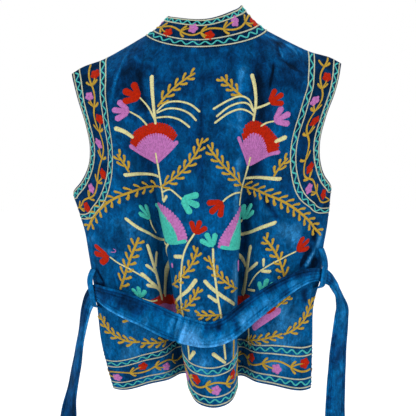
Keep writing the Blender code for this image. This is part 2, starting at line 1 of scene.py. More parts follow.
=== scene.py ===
"""How the velvet waistcoat looks: fine cloth, wool embroidery, a topstitched belt, light and camera.

The first half repeats the part's own cut, in millimetres, on a grid four times finer, so that every
piece lies where its solid is. Embroidery is drawn in the flat: each motif is a list of strokes at
places (across, z) on a panel, or (along, off) on a border, and each stroke becomes a raised cord of
chain stitches on the cloth.
"""

import math

import bpy
import numpy as np
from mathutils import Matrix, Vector


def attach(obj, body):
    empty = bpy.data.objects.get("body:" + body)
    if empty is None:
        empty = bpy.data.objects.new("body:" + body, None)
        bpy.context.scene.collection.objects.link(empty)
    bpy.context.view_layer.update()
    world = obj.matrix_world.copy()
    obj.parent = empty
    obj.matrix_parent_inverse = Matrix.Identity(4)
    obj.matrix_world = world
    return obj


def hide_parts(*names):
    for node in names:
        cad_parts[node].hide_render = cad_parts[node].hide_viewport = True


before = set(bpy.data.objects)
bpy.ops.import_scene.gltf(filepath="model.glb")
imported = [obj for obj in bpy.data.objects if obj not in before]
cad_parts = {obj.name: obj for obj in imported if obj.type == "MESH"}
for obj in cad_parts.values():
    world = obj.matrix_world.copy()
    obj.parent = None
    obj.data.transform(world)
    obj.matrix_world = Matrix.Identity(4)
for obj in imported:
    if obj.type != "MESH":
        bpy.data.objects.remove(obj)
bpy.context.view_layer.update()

METRES = 0.001  # one millimetre in metres

# Cloth's thickness
BODY_CLOTH = 2.5
COLLAR_CLOTH = 3.0
LOOP_CLOTH = 2.0
SEAM_GAP = 0.36  # between the cut edges of two pieces that are sewn together
LAID_GAP = 0.6  # between the cloth and what lies on it

# Cut, before the garment hangs askew
NECK_HALF_WIDTH = 107.0
NECK_POINT_Z = 4.0
BACK_NECK_DEPTH = 55.0
BACK_NECK_DROP = 30.0
SHOULDER_TIP_X = 238.0
SHOULDER_TIP_Z = -58.0
UNDERARM_Z = -271.0
HEM_Z = -642.0
COLLAR_BOW = 13.0  # degrees that the collar leans more at its base, and less at its top
WEARER_MIDDLE = (0.0, 15.0, 0.0)
ASKEW = 9.0  # how far each shoulder tip is off level: the wearer's right is the higher one

# Grid
FINE = 4  # times as many rows and columns as the solids have
PANEL_COLUMNS = 12 * FINE  # from a side edge to the valley beside the back's fold, or to a front's edge
FOLD_COLUMNS = 9 * FINE  # from that valley to the crest of the fold
TOP_ROWS = 16 * FINE  # from the shoulders to the underarms
NECK_ROWS = 6 * FINE  # of those, the ones that end on the front neckline
LOW_ROWS = 14 * FINE  # from the underarms to the hem
ROW_CROWDING = 0.45  # how much closer rows are at the shoulders and underarms, where cloth turns
COLLAR_ROWS = 4 * FINE
LAST_COLUMN = 2 * (PANEL_COLUMNS + FOLD_COLUMNS)  # of the back, at its right side
NECK_END = NECK_ROWS + 2 * FOLD_COLUMNS  # the collar's column at the right shoulder seam
LEVEL_STEP = 4.0  # between the heights at which a section of the body is worked out
ACROSS_STEP = 2.0  # between a flat plan's points across the cloth
SHORT_OF_LAST = 1.001  # how far from a plan's count of points it is read, as the last has no next one
BAND_ROWS = 24  # of the plan of a border
LINE_SAMPLES = 400  # of a line that is clipped
HALVINGS = 20  # of the last step of it, to find where the edge is
EDGE_SAMPLES = 60  # of the edge that a border follows
EDGE_SMOOTHING = 4  # times that the directions along it are averaged
ARC_SAMPLES = 12  # of a border's turn under the arm
HEM_SAMPLES = 300
CURVE_SAMPLES = 16  # between two points that a curve goes through
OVAL_SAMPLES = 120

# The shoulders' rounding: its reach down from the top edge, and the power of its curve at the
# shoulder's tip and beside the neck
BACK_ROUND = 85.0
FRONT_ROUND = 150.0
TIP_POWER = 0.55
BACK_NECK_POWER = 1.0
FRONT_NECK_POWER = 0.7
FRONT_OVAL = 2.3  # power of the oval that a front's section follows: 2 is an ellipse
FRONT_FOLD = 11.0  # how deep the soft folds at the hem of each front are
FRONT_FOLD_TOP_Z = -330.0
FRONT_FOLDS = 3.2  # half waves over a front's width
FOLD_PHASE = {-1: 0.3, 1: 1.1}

BELT_SIDES = 48
BELT_SLICE = 3.0  # length of one step along the belt
LOOP_STEPS = 40
LOOP_COLUMNS = 8
LOOP_HALF_COLUMNS = 0.42 * FINE  # half of each loop's width, in columns of the back
LOOP_SLACK = 4.0  # room for the belt to move in a loop


def table(columns, *rows):
    """The columns of a short table by name. The first one is the place that the others are read at."""
    return dict(zip(columns.split(), np.array(rows, float).T))


SHOULDER = table(
    "x     z",
    (107,  4),
    (140, -14),
    (182, -35),
    (225, -50),
    (238, -58),
)  # fmt: skip

# Half widths of the back at each height: out to its cut edge, which is the armhole down to -271 and
# the side seam below it, and out to the side of the whole hollow form.
OUTLINE = table(
    "z     left   right   form_left  form_right",
    (0,    239,   238,    239,       238),
    (-58,  239,   238,    239,       238),
    (-80,  233,   234,    239.3,     237.5),
    (-104, 225.5, 227,    239.5,     236),
    (-150, 209.5, 208,    240,       233),
    (-192, 202,   197.5,  240,       230),
    (-224, 206.5, 199,    240,       227),
    (-252, 222,   209,    239.5,     225),
    (-271, 238.5, 223,    238.5,     223),
    (-310, 227.5, 220,    227.5,     220),
    (-345, 218,   216,    218,       216),
    (-380, 212.5, 210,    212.5,     210),
    (-430, 205,   206.5,  205,       206.5),
    (-480, 198,   194,    198,       194),
    (-550, 190.5, 192,    190.5,     192),
    (-600, 179,   191,    179,       191),
    (-642, 168,   190,    168,       190),
)  # fmt: skip

# The back's section: the organ-pipe fold at its middle, and the panel at each side of it.
BACK = table(
    "z     fold_x  fold_half  crest_y  valley_y  outer_y  inner_y",
    (0,     -4,     108,      -54,     -50,      -20,     -40),
    (-60,   -8,     104,      -57,     -51,      -24,     -45),
    (-115,  -11,     96,      -60,     -51,      -38,     -52),
    (-160,  -12,     87,      -61,     -47,      -44,     -54),
    (-205,  -12.3,   79,      -61,     -38,      -44,     -53),
    (-250,  -12.5,   75,      -61,     -26,      -36,     -50),
    (-290,  -12.3,   71,      -61,     -14,      -32,     -48),
    (-375,  -6.3,    61.5,    -60,      10,      -30,     -42),
    (-460,  -1.8,    55,      -60,      30,      -27,     -34),
    (-545,   4.7,    48.5,    -61,      43,      -17,     -14),
    (-642,  12.5,    41,      -63,      50,       -8,       8),
)  # fmt: skip
BEYOND_SEAM = 30.0  # how far forward the section goes on past a side seam, which makes it round there
OUTER_SHARE = 0.30  # where outer_y and inner_y lie, as shares of the way from the edge to the valley
INNER_SHARE = 0.72
VALLEY_PLACE, CREST_PLACE = 3.5, 8  # counted in points of the section, from its side edge on
VALLEY_ROUND = 11.0  # how wide each valley's bottom is

# Half of the fold, from its valley to its crest: distance from its middle in half widths, and depth
# as a share of its whole depth, for a soft fold and for a deep one with its sides pressed together.
FOLD = table(
    "place  soft_out  soft_deep  deep_out  deep_deep",
    (0,      1.15,     1.00,      1.04,     1.00),
    (1,      0.93,     0.72,      1.05,     0.74),
    (2,      0.70,     0.38,      0.99,     0.37),
    (3,      0.40,     0.12,      0.64,     0.09),
    (4,      0.00,     0.00,      0.00,     0.00),
)  # fmt: skip
DEEP_FOLD = 70.0  # depth from which a fold has the deep form

# Height of the back's hem from the left side (-2) over the fold's crest (0) to the right side (2).
HEM = table(
    "place  z",
    (-2.0, -636),
    (-1.9, -637),
    (-1.5, -624),
    (-1.1, -621),
    (-1.0, -622),
    (-0.6, -631),
    (0.0,  -653),
    (0.6,  -632),
    (1.0,  -627),
    (1.1,  -626),
    (1.5,  -628),
    (1.9,  -638),
    (2.0,  -636),
)  # fmt: skip

# The fronts: depth of the chest, how much deeper than the back's the armhole is cut, how much the
# oval is narrower than the back's form beside the armhole, and half of the gap between the fronts.
FRONT = table(
    "z     depth  inset  narrower  gap",
    (4,      58,    0,     0,      3),
    (-58,    66,    0,     0,      3),
    (-104,   76,    8,     0,      3),
    (-150,   86,   12,     3,      4),
    (-192,   93,   14,     6,      5),
    (-224,   97,   12,     9,      6),
    (-252,   99,    4,     8,      6.5),
    (-271,  100,    0,     0,      7),
    (-290,  100,    0,     0,      7.5),
    (-400,   98,    0,     0,     11),
    (-520,  103,    0,     0,     15),
    (-642,  110,    0,     0,     20),
)  # fmt: skip
FRONT_NECK_CURVE = 1.7  # power of the front neckline: 1 is a straight V, 2 a round neck
BACK_NECK_CURVE = 1.4  # power of the back neckline's drop: 1 is a level cut, more is flat at its ends

# The collar, from the left front's end (-2) over the side (-1) and the middle of the back (0) round
# to the right front's end (2): its height along the cloth, and how much narrower its top edge is
# than the neckline, sideways and from front to back.
COLLAR = table(
    "place  height  narrow_x  narrow_y",
    (-2.0,    46,    0.36,     0.36),
    (-1.5,    49,    0.36,     0.36),
    (-1.0,    53,    0.38,     0.25),
    (-0.6,    53,    0.37,     0.13),
    (0.0,     50,    0.36,     0.13),
    (0.6,     61,    0.42,     0.13),
    (1.0,     64,    0.43,     0.25),
    (1.5,     53,    0.40,     0.36),
    (2.0,     46,    0.36,     0.36),
)  # fmt: skip

# The belt's middle line over the back, from the left loop to the right one, its width and thickness
# and the lean of its upper edge towards the cloth.
BELT_BACK = table(
    "x     y     z     wide  thick  lean",
    (-178, -38, -461.5, 37,  7.5,   0),
    (-153, -48, -470,  43,   6.5,   4),
    (-101, -61, -489,  47,   5.5,   8),
    (-60,  -69, -506.5, 48,  5,    12),
    (-29,  -74, -515,  47,   5,    14),
    (1,    -76, -520,  44,   5.5,  16),
    (32,   -76, -512,  43,   5.5,  16),
    (79,   -69, -477,  41,   5.5,  12),
    (126,  -59, -445.5, 35.5, 6,    8),
    (170,  -44, -425,  28.5, 7.5,   0),
)  # fmt: skip
BELT_SEAM_X = -47.0  # where the belt's two lengths are joined

# The belt's two loose ends, from just outside each loop down. "out" and "front" give the way that
# its former upper edge points once it hangs, sideways from the body and towards the wearer's front.
LEFT_TAIL = table(
    "x     y     z     wide  thick  out   front  up",
    (-214,   7, -475,  32,   8,    0.57,  0.63,  0.53),
    (-220,  12, -491,  32,   7.5,  0.6,   0.78,  0.17),
    (-224.5, 15, -511, 36,   6.5,  0.5,   0.85,  0),
    (-230.5, 16, -544, 42,   5.5,  0.37,  0.91,  0),
    (-239.5, 17, -596, 48,   5,    0.42,  0.88,  0),
    (-249.5, 18, -650, 50,   5,    0.46,  0.86,  0),
    (-256,  19, -694,  50,   5,    0.67,  0.71,  0),
    (-261,  20, -745,  50,   5,    0.72,  0.65,  0),
    (-264,  19, -818,  50,   5,    0.71,  0.65,  0),
    (-264,  18, -895,  50,   5,    0.71,  0.64,  0),
)  # fmt: skip
RIGHT_TAIL = table(
    "x     y     z     wide  thick  out   front  up",
    (225,    7, -437,  28,   8,    0.36,  0.8,   0.48),
    (234,   12, -450,  28,   8,    0.43,  0.86,  0.28),
    (241,   15, -463,  30,   7,    0.43,  0.9,   0.05),
    (245,   17, -477,  36,   6,    0.52,  0.85,  0),
    (249,   19, -495,  42,   5,    0.67,  0.73,  0),
    (248,   20, -518,  46,   5,    0.68,  0.72,  0),
    (244,   20, -560,  49,   5,    0.71,  0.69,  0),
    (241,   20, -620,  50,   5,    0.75,  0.64,  0),
    (239,   20, -681,  50,   5,    0.79,  0.58,  0),
    (240,   20, -750,  50,   5,    0.82,  0.54,  0),
    (241,   19, -825,  50,   5,    0.82,  0.53,  0),
    (243,   18, -889,  50,   5,    0.82,  0.52,  0),
)  # fmt: skip

# Each loop: where it is sewn on above and below, how high the belt goes through it, in how many
# columns of the back from the side seam it is and the belt's width in it.
LOOPS = table(
    "side  top_z  low_z  belt_z  column  wide",
    (-1,   -416,  -484,  -458,   0.52,   31),
    (1,    -378,  -448,  -425,   0.55,  24),
)  # fmt: skip
BELT_IN_LOOP = 8.0  # thickness of the belt where a loop squeezes it


# --- looks ---

FRONT_GRAIN_X = 120.0  # where a front's straight grain line runs
EDGE_ROLL = 0.45  # how far a piece's rolled edge stands out, in thicknesses
EDGE_SHAPE = ((0.8, 0.6), (1.0, 0.0), (0.8, -0.6))  # out and up, over the edge
CLOTH_SHARP, WOOL_SHARP = 60, 80  # degrees between two faces from which their edge looks sharp

# Creases: troughs (lift below 0) and ridges from one place to another, with their half width and
# how far their middle bows aside.
CREASES = {
    "back": table(
        "across  z     to_across  to_z   lift  spread  bow",
        (4,      -30,    5,      -350,   -1.6,   7,      3),
        (-110,   -40,  -88,      -160,   -3.0,  10,      5),
        (-138,   -10, -158,      -130,    2.0,   4,      0),
        (96,     -40,  108,      -200,   -3.0,  12,      0),
        (123,    -46,  119,      -110,   -2.0,   2.5,    0),
        (140,    -51,  174,       -68,   -2.2,   4,      0),
        (131,    -20,  143,       -50,    2.2,   3.5,    0),
        (146,    -18,  180,       -46,    2.2,   4,     -4),
        (112,    -60,  160,       -90,    2.0,   7,      4),
        (140,   -272,  206,      -330,   -2.8,   4,      3),
        (150,   -290,  214,      -342,    1.6,   6,      3),
        (200,   -352,  262,      -368,   -1.6,   4,      3),
        (190,   -372,  256,      -392,   -1.4,   4,      3),
        (274,   -320,  277,      -384,   -3.0,   5,      4),
        (279,   -372,  266,      -428,   -3.6,   5,      0),
        (290,   -335,  279,      -428,    3.2,   5,      3),
        (298,   -390,  296,      -420,   -2.6,   8,      0),
        (-300,  -400, -289,      -442,   -2.2,   3,      0),
        (300,   -280,  284,      -350,    1.6,   6,      3),
        (-296,  -330, -226,      -424,    1.8,   9,     -6),
        (-300,  -362, -250,      -430,   -2.0,   7,     -5),
        (60,     -90,   56,      -330,    1.5,  10,      4),
        (-50,   -100,  -46,      -240,    1.0,   9,      4),
        (-262,  -470, -250,      -630,    1.6,  16,      4),
        (250,   -470,  238,      -630,    1.6,  16,     -4),
    ),
    "front_left": table(
        "across  z     to_across  to_z   lift  spread  bow",
        (-60,   -330,   30,      -430,   -2.4,   9,      6),
        (-70,   -370,    0,      -450,    2.0,   9,      6),
        (40,    -120,  -30,      -250,    1.8,  12,      6),
        (60,    -300,   52,      -620,    2.0,  16,      6),
    ),
    "front_right": table(
        "across  z     to_across  to_z   lift  spread  bow",
        (-64,   -310,   24,      -400,   -2.6,   9,      6),
        (-70,   -350,    6,      -436,    2.2,   8,      6),
        (36,    -130,  -24,      -262,    1.8,  12,     -6),
        (48,    -320,   60,      -620,    2.0,  16,     -6),
    ),
}  # fmt: skip

# The pile's nap with painted light and shade, 0.5 being plain: lighter where it catches the light
CREASE_SHADE = 0.05  # painted highlight where the cloth's creases and ripples stand out and painted shade where they sink: how much lighter it is per mm that a crease stands out
BORDER_SHADE = 0.16  # how much darker it is under a border
TOP_SHADE, HEM_LIGHT = -0.20, 0.05  # how it changes over the whole height
COLLAR_NAP = 0.46
NAP_SAMPLES = 40  # of the armhole's edge, to find what is under its border
BORDER_PAST, BORDER_SOFT = 1.0, 3.0  # how far that goes past the last line and over how much it fades

# Patches where the pile is lighter (lift above 0) or darker, laid as the creases are. Many are painted
# shade along creases' troughs and in the fold's valleys, and painted highlight along ridges and the fold's
# side.
NAP_AND_SHADE_PATCHES = {
    "back": table(
        "across  z     to_across  to_z   lift  spread  bow",
        (69,     -40,   76,      -190,    0.26,   6,     6),
        (73,    -170,   64,      -400,    0.26,   7,     0),
        (65,    -380,   62,      -500,    0.34,   8,     0),
        (56,    -500,   50,      -640,    0.30,  10,     0),
        (90,     -30,  112,      -170,   -0.20,  12,     0),
        (104,   -170,  104,      -290,   -0.34,  12,     0),
        (108,   -260,  138,      -420,   -0.26,  14,     0),
        (-111,   -50,  -88,      -152,   -0.22,   5,     0),
        (-100,   -60,  -96,      -120,    0.10,   4,     0),
        (-139,   -20, -157,      -122,    0.26,   2,     0),
        (-92,   -190, -100,      -330,   -0.20,   8,     0),
        (3,      -50,    9,      -350,   -0.08,   3,     2),
        (-112,  -290, -140,      -480,    0.05,  16,     0),
        (-160,  -320, -230,      -420,    0.08,  24,     0),
        (145,   -275,  205,      -332,   -0.34,   4,     3),
        (150,   -290,  260,      -350,    0.06,  10,     4),
        (-125,   -40, -150,      -110,   -0.14,  22,     0),
        (145,    -50,  165,      -110,   -0.12,  24,     0),
        (190,   -330,  262,      -386,    0.16,  14,    -4),
        (272,   -336,  283,      -375,   -0.70,   3,     0),
        (282,   -370,  267,      -418,   -0.90,   3.5,   0),
        (292,   -350,  291,      -382,    0.50,   4,     0),
        (290,   -380,  277,      -416,    0.65,   3.5,   0),
        (297,   -394,  298,      -418,   -0.70,   7,     0),
        (276,   -414,  309,      -412,   -0.60,   2.5,   0),
        (288,   -448,  299,      -482,   -0.45,   6,     0),
        (-298,  -405, -289,      -442,   -0.60,   2.5,   0),
        (-315,  -440, -283,      -441,   -0.60,   2.5,   0),
        (108,      0,  145,       -17,    0.35,   3,     0),
        (130,    -22,  142,       -52,    0.42,   1.8,   2),
        (142,    -20,  172,       -50,    0.30,   2,    -5),
        (132,    -11,  130,       -51,   -0.35,   6,     0),
        (123,    -51,  119,      -104,   -0.60,   2,     0),
        (134,    -48,  178,       -72,   -0.28,   2.4,   2),
        (71,     -49,   85,      -108,    0.14,  10,     0),
        (235,   -470,  286,      -524,    0.22,  14,     0),
        (120,   -470,  150,      -560,    0.10,  16,     0),
        (200,   -560,  300,      -600,    0.18,  30,     0),
        (-250,  -610, -150,      -600,    0.16,  22,     0),
        (-120,  -540, -110,      -620,    0.14,  20,     0),
        (-20,   -560,   10,      -650,    0.16,  26,     0),
    ),
    "front_left": table(
        "across  z     to_across  to_z   lift  spread  bow",
        (40,     -80,   20,      -300,    0.14,  26,     6),
        (60,    -300,   50,      -600,   -0.12,  24,     0),
    ),
    "front_right": table(
        "across  z     to_across  to_z   lift  spread  bow",
        (30,    -100,   24,      -320,    0.14,  26,     6),
        (-20,   -330,  -30,      -600,   -0.12,  24,     0),
    ),
}  # fmt: skip

# Between the placed creases, the cloth's ripples: their height and the lengths of their waves
RIPPLE = 0.7
RIPPLE_LENGTHS = (19.0, 31.0, 27.0, 47.0)
RIDGE_ENDS = (0.25, 0.35)  # shares of a ridge's length over which it rises and dies away
SMOOTH_EDGE = 1.5  # rows or columns of the solid, beside a panel's edges, that creases die away in

# Wool. A petal's shape is where it starts and ends, away from its flower's place, and its width at
# both, as shares of the flower's size.
CORD_HEIGHT = 1.9
CORD_SUNK = 0.3  # how far a cord's base is sunk into the pile
CORD_STEP = 1.6  # half of a chain stitch
CORD_SIDES = np.array((-1.0, -0.6, 0.0, 0.6, 1.0))  # across a cord, in half widths
CHAIN = 0.12  # how much a cord narrows between two stitches
LEAST_END = 0.02  # square of the share of its width that a cord has left at its round ends
STEM_WIDTH = 4.4
STEM_STEPS, LEAF_STEPS, VINE_LEAF_STEPS = 24, 5, 4
LEAF_ANGLE = 58.0
LEAF_CURL = 44.0
LEAF_WIDTHS = (0.75, 1.4)  # of a fern's leaf at its foot and its tip, in stem widths
LEAF_LENGTHS = (1.1, 0.9)  # of the first and the last leaf, against the fern's own leaf
PETAL_HEIGHT = 2.2
CUP_HEIGHT = 1.98
BUD_CUP = (-0.02, 0.52, 0.2, 0.7)
BUD_PETALS = ((-36, 0.92), (36, 0.92), (0, 1.0))  # degrees off the bud's heading, and reach
BUD_PETAL_START = 0.1
BUD_PETAL_WIDTHS = (0.28, 0.42)
FLORET = 19.0
FLORET_PETALS = 5
FLORET_PETAL = (-0.04, 0.5, 0.4, 0.52)
FLORET_TURN = 20.0
RIM_HEIGHT = 0.9
RIM_START = 0.9  # where a lobe of a fan's rim starts, as a share of the ribs' reach
RIM_LEAST = 3.0  # where the rim stands out less than this, it has no lobes
LOBE_WIDTHS = (0.95, 1.25)
RIB_HEIGHT = 1.3
RIB_TURN = 5.0  # degrees between a fan's ribs
RIB_START = 2.0
RIB_FOOT = 1.8
RIB_OVERLAP = 1.25

# A border's lines, zigzags and vine
LINE_WIDTH = 2.6
LINE_STEP = 12.0
LINE_WAVE, LINE_WAVE_LENGTH = 0.5, 23.0
ZIGZAG_PITCH = 19.0
ZIGZAG_DEPTH = 3.1
ZIGZAG_WIDTH = 2.9
ZIGZAG_END = 2.0
VINE_WIDTH = 3.8
VINE_STEP = 4.0
STALK_WIDTH = VINE_WIDTH * 0.8
STALK_BOW = 2.0
FLORET_OFF = 7.0
FLORET_CLEAR = (4.0, 6.0)  # from the ends of the band
VINE_LEAF_CLEAR = 8.0
VINE_LEAF = 15.0
VINE_LEAF_ANGLE = 66.0
VINE_LEAF_CURL = 0.6  # of its angle
VINE_LEAF_WIDTHS = (VINE_WIDTH * 0.9, VINE_WIDTH * 1.35)

# Borders
HEM_DEPTH = 76.0
ARMHOLE_DEPTH = 66.0
COLLAR_DEPTH = 52.0
HEM_MARGIN = 0.001  # share of the hem's length at each end that its border leaves
LEAST_OFF = 0.6  # how close to the armhole's edge its border's cloth is read
BAND_START, BAND_BEYOND = 40.0, 60.0  # how far a border's lines are drawn on before they are clipped
HEM_LEFT_LESS, HEM_LEFT_END = 0.24, 0.45  # how much narrower the back's hem border starts, and until where
HEM_RIGHT_MORE, HEM_RIGHT_END, HEM_RIGHT_RISE = 0.12, 0.78, 0.14  # wider, from where and over how much

# Distances in from the edge: the lines, the zigzags and the vine's middle and swing. Then where the
# vine turns, which way it grows along the band and the colours of the florets in turn, None for none.
HEM_LINES = (4.0, 18.0, 56.0, 70.0), (11.0, 63.0), (37.0, 6.5)
ARMHOLE_LINES = (3.0, 13.5, 50.0, 61.0), (8.2, 55.5), (31.5, -6.5)
BACK_HEM_BORDER = (
    *HEM_LINES,
    (15, 67, 110, 152, 185, 219, 246, 284, 320, 359, 397, 434, 470, 506, 557, 608),
    1,
    ("pink", "red", "pink", None, None, "red", "pink", "red", "pink", "red", None, None, None, "red",
     "pink", "red"),
)  # fmt: skip
FRONT_HEM_BORDER = (*HEM_LINES, (14, 62, 110, 158, 206, 254), 1, ("red", "pink"))
ARMHOLE_BORDERS = {
    ("back", -1): (
        *ARMHOLE_LINES[:2],
        (33.5, -4.5),
        (23, 63, 103, 151, 198, 247, 286),
        -1,
        ("red", "pink"),
    ),
    ("back", 1): (
        *ARMHOLE_LINES,
        (2, 38, 80, 121, 164, 209, 241, 286),
        -1,
        (None, "red", "pink", "red", None, "red", "pink", "red"),
    ),
    ("front_left", 0): (*ARMHOLE_LINES, (24, 64, 104, 146, 190, 232, 274), -1, ("red", "pink")),
    ("front_right", 0): (*ARMHOLE_LINES, (20, 60, 102, 144, 186, 228, 270), -1, ("pink", "red")),
}
COLLAR_BORDER = (
    (1.5, 9.5, 36.0, 50.0),
    (5.5, 43.0),
    (22.5, 5.5),
    (38, 86, 134, 182, 226, 256, 306, 350, 392, 434, 476),
    1,
    ("pink", "red"),
)

# How much narrower the border is laid down each armhole.
ARMHOLE_SCALE = table(
    "place  left  right  front",
    (-20,   1.00, 1.00,  1.00),
    (-100,  1.00, 1.02,  1.00),
    (-160,  0.70, 0.86,  0.90),
    (-205,  0.68, 0.90,  0.88),
    (-240,  0.74, 0.84,  0.86),
    (-270,  0.80, 0.77,  0.86),
)  # fmt: skip

# Fans, from one side to the other: heading, and reach of the ribs and of the rim.
UPPER_LEFT_FAN = table(
    "heading  ribs  rim",
    (-43, 50, 50), (-40, 50, 63), (-28, 52, 70), (-18, 54, 73), (0, 55, 74), (14, 54, 73),
    (32, 52, 71), (50, 50, 63), (57, 50, 52),
)  # fmt: skip
UPPER_RIGHT_FAN = table(
    "heading  ribs  rim",
    (-26, 44, 44), (-19, 50, 66), (-12, 53, 76), (-2, 60, 82), (14, 57, 76), (30, 49, 70),
    (48, 42, 66), (57, 42, 60),
)  # fmt: skip
LEFT_HALF_FAN = table(
    "heading  ribs  rim",
    (-84, 27, 45), (-75, 27, 47), (-59, 30, 50), (-46, 32, 54), (-28, 38, 60), (-14, 44, 66),
    (-2, 54, 71), (9, 64, 76), (17, 70, 76), (22, 76, 76), (29, 80, 80),
)  # fmt: skip
RIGHT_HALF_FAN = table(
    "heading  ribs  rim",
    (-84, 30, 51), (-74, 30, 51), (-55, 31, 50), (-37, 34, 52), (-22, 39, 58), (-9, 48, 66),
    (1, 58, 77), (8, 66, 78), (20, 70, 76), (28, 72, 72),
)  # fmt: skip
LOWER_LEFT_FAN = table(
    "heading  ribs  rim",
    (-61, 96, 126), (-50, 80, 108), (-36, 54, 76), (-23, 52, 70), (-4, 52, 71), (16, 56, 74),
    (28, 60, 78), (45, 64, 82), (56, 68, 82),
)  # fmt: skip
LOWER_RIGHT_FAN = table(
    "heading  ribs  rim",
    (-52, 52, 80), (-40, 52, 80), (-12, 54, 74), (2, 55, 79), (17, 58, 83), (30, 58, 86),
    (40, 58, 84),
)  # fmt: skip

# The two halves of the back's spray. Places are (distance out from the middle, height); headings
# are degrees from straight up, turning outwards. Rows: a colour of yarn, width, end width, places;
# fern, place, heading, length, bend, leaf, gap; bud, colour, place, heading, size; fan, colours of
# its ribs and rim, the place that the ribs start from, its table and the width of a rim's lobe.
SPRAY_MIDDLE = 4.0
SPRAY_DROP = -10.0  # how much lower the right half sits
LEFT_SPRAY = (
    ("ivory", 5, 8, (80, -154), (85, -112), (91, -68)),
    ("ivory", 3.4, 4.2, (79, -132), (63, -118), (45, -115), (21, -121), (3, -135)),
    ("ivory", 3.4, 4.2, (79, -134), (59, -127), (38, -129), (20, -138), (9, -150)),
    ("ivory", 3.4, 4.2, (80, -142), (59, -141), (40, -146), (28, -154), (20, -161)),
    ("fern", (77, -124), -33, 84, -29, 16, 15),
    ("ivory", 4.6, 3, (81, -146), (94, -122), (110, -105)),
    ("bud", "red", (108, -107), 64, 34),
    ("ivory", 4, 3, (95, -155), (108, -141), (127, -129)),
    ("bud", "pink", (126, -130), 82, 31),
    ("ivory", 7, 9.5, (121, -176), (137, -164), (154, -157)),
    ("fan", "pink", "red", (80, -223), UPPER_LEFT_FAN, 4.6),
    ("pink", 4, 9, (80, -221), (60, -204), (41, -183)),
    ("pink", 4, 10, (82, -221), (108, -205), (131, -188)),
    ("ivory", 5, 4, (82, -201), (77, -242), (71, -270), (69, -288)),
    ("ivory", 5, 7.6, (78, -245), (96, -241), (124, -239), (154, -240)),
    ("fern", (142, -236), 14, 36, 14, 16, 12),
    ("fern", (79, -264), -70, 122, 53, 17, 15),
    ("fern", (80, -262), 89, 224, 44, 16, 20),
    ("ivory", 3.6, 3.6, (71, -272), (56, -267), (44, -275), (33, -285)),
    ("bud", "turquoise", (35, -283), -114, 34),
    ("ivory", 4, 7, (69, -290), (61, -277)),
    ("fan", "turquoise", "pink", (73, -364), LEFT_HALF_FAN, 6),
    ("turquoise", 5, 8, (74, -362), (92, -326), (110, -294)),
    ("turquoise", 8, 8, (74, -362), (52, -361), (30, -357)),
    ("bud", "turquoise", (138, -322), 26, 31),
    ("ivory", 3.6, 3.6, (139, -322), (141, -334), (136, -349)),
    ("ivory", 4.6, 8.4, (76, -366), (104, -364), (131, -360), (159, -347), (177, -336), (191, -315)),
    ("bud", "red", (15, -346), -24, 27),
    ("ivory", 3.8, 4.4, (15, -343), (30, -364), (39, -385), (45, -418), (50, -462), (47, -510),
     (44, -546), (44, -572)),
    ("ivory", 8, 8, (39, -385), (59, -386)),
    ("fern", (76, -440), -70, 100, 57, 15, 15),
    ("ivory", 6.4, 8.4, (66, -468), (46, -454), (34, -445), (17, -424)),
    ("fern", (66, -486), -78, 74, 62, 14, 14),
    ("fern", (64, -462), 174, 30, 0, 10, 10),
    ("ivory", 6, 9, (46, -572), (38, -563), (30, -553)),
    ("ivory", 5, 14, (67, -362), (88, -378), (110, -392), (135, -420), (149, -446), (163, -470)),
    ("pink", 5, 5, (66, -398), (66, -408)),
    ("ivory", 13, 10, (180, -474), (180, -444), (181, -405), (178, -364)),
    ("ivory", 8, 9, (176, -408), (162, -392), (151, -382)),
    ("ivory", 7, 8, (183, -419), (192, -409), (200, -400)),
    ("ivory", 7, 8.4, (180, -456), (200, -437), (214, -414)),
    ("ivory", 7, 8.4, (190, -446), (214, -437)),
    ("ivory", 3.4, 4.6, (259, -386), (247, -397), (230, -408), (206, -428), (184, -450)),
    ("bud", "red", (260, -386), 84, 32),
    ("pink", 2, 2, (253, -378), (245, -378), (242, -375), (246, -372)),
    ("fern", (265, -447), -35, 124, -8, 17, 17),
    ("bud", "turquoise", (232, -461), -8, 22),
    ("ivory", 3.6, 3.6, (230, -462), (214, -468), (200, -468)),
    ("fan", "pink", "red", (176, -532), LOWER_LEFT_FAN, 6),
    ("fern", (182, -548), 90, 65, -2, 15, 14),
    ("fern", (247, -544), 98, 97, -85, 15, 14),
    ("gold", 4, 6, (258, -501), (275, -507)),
)  # fmt: skip
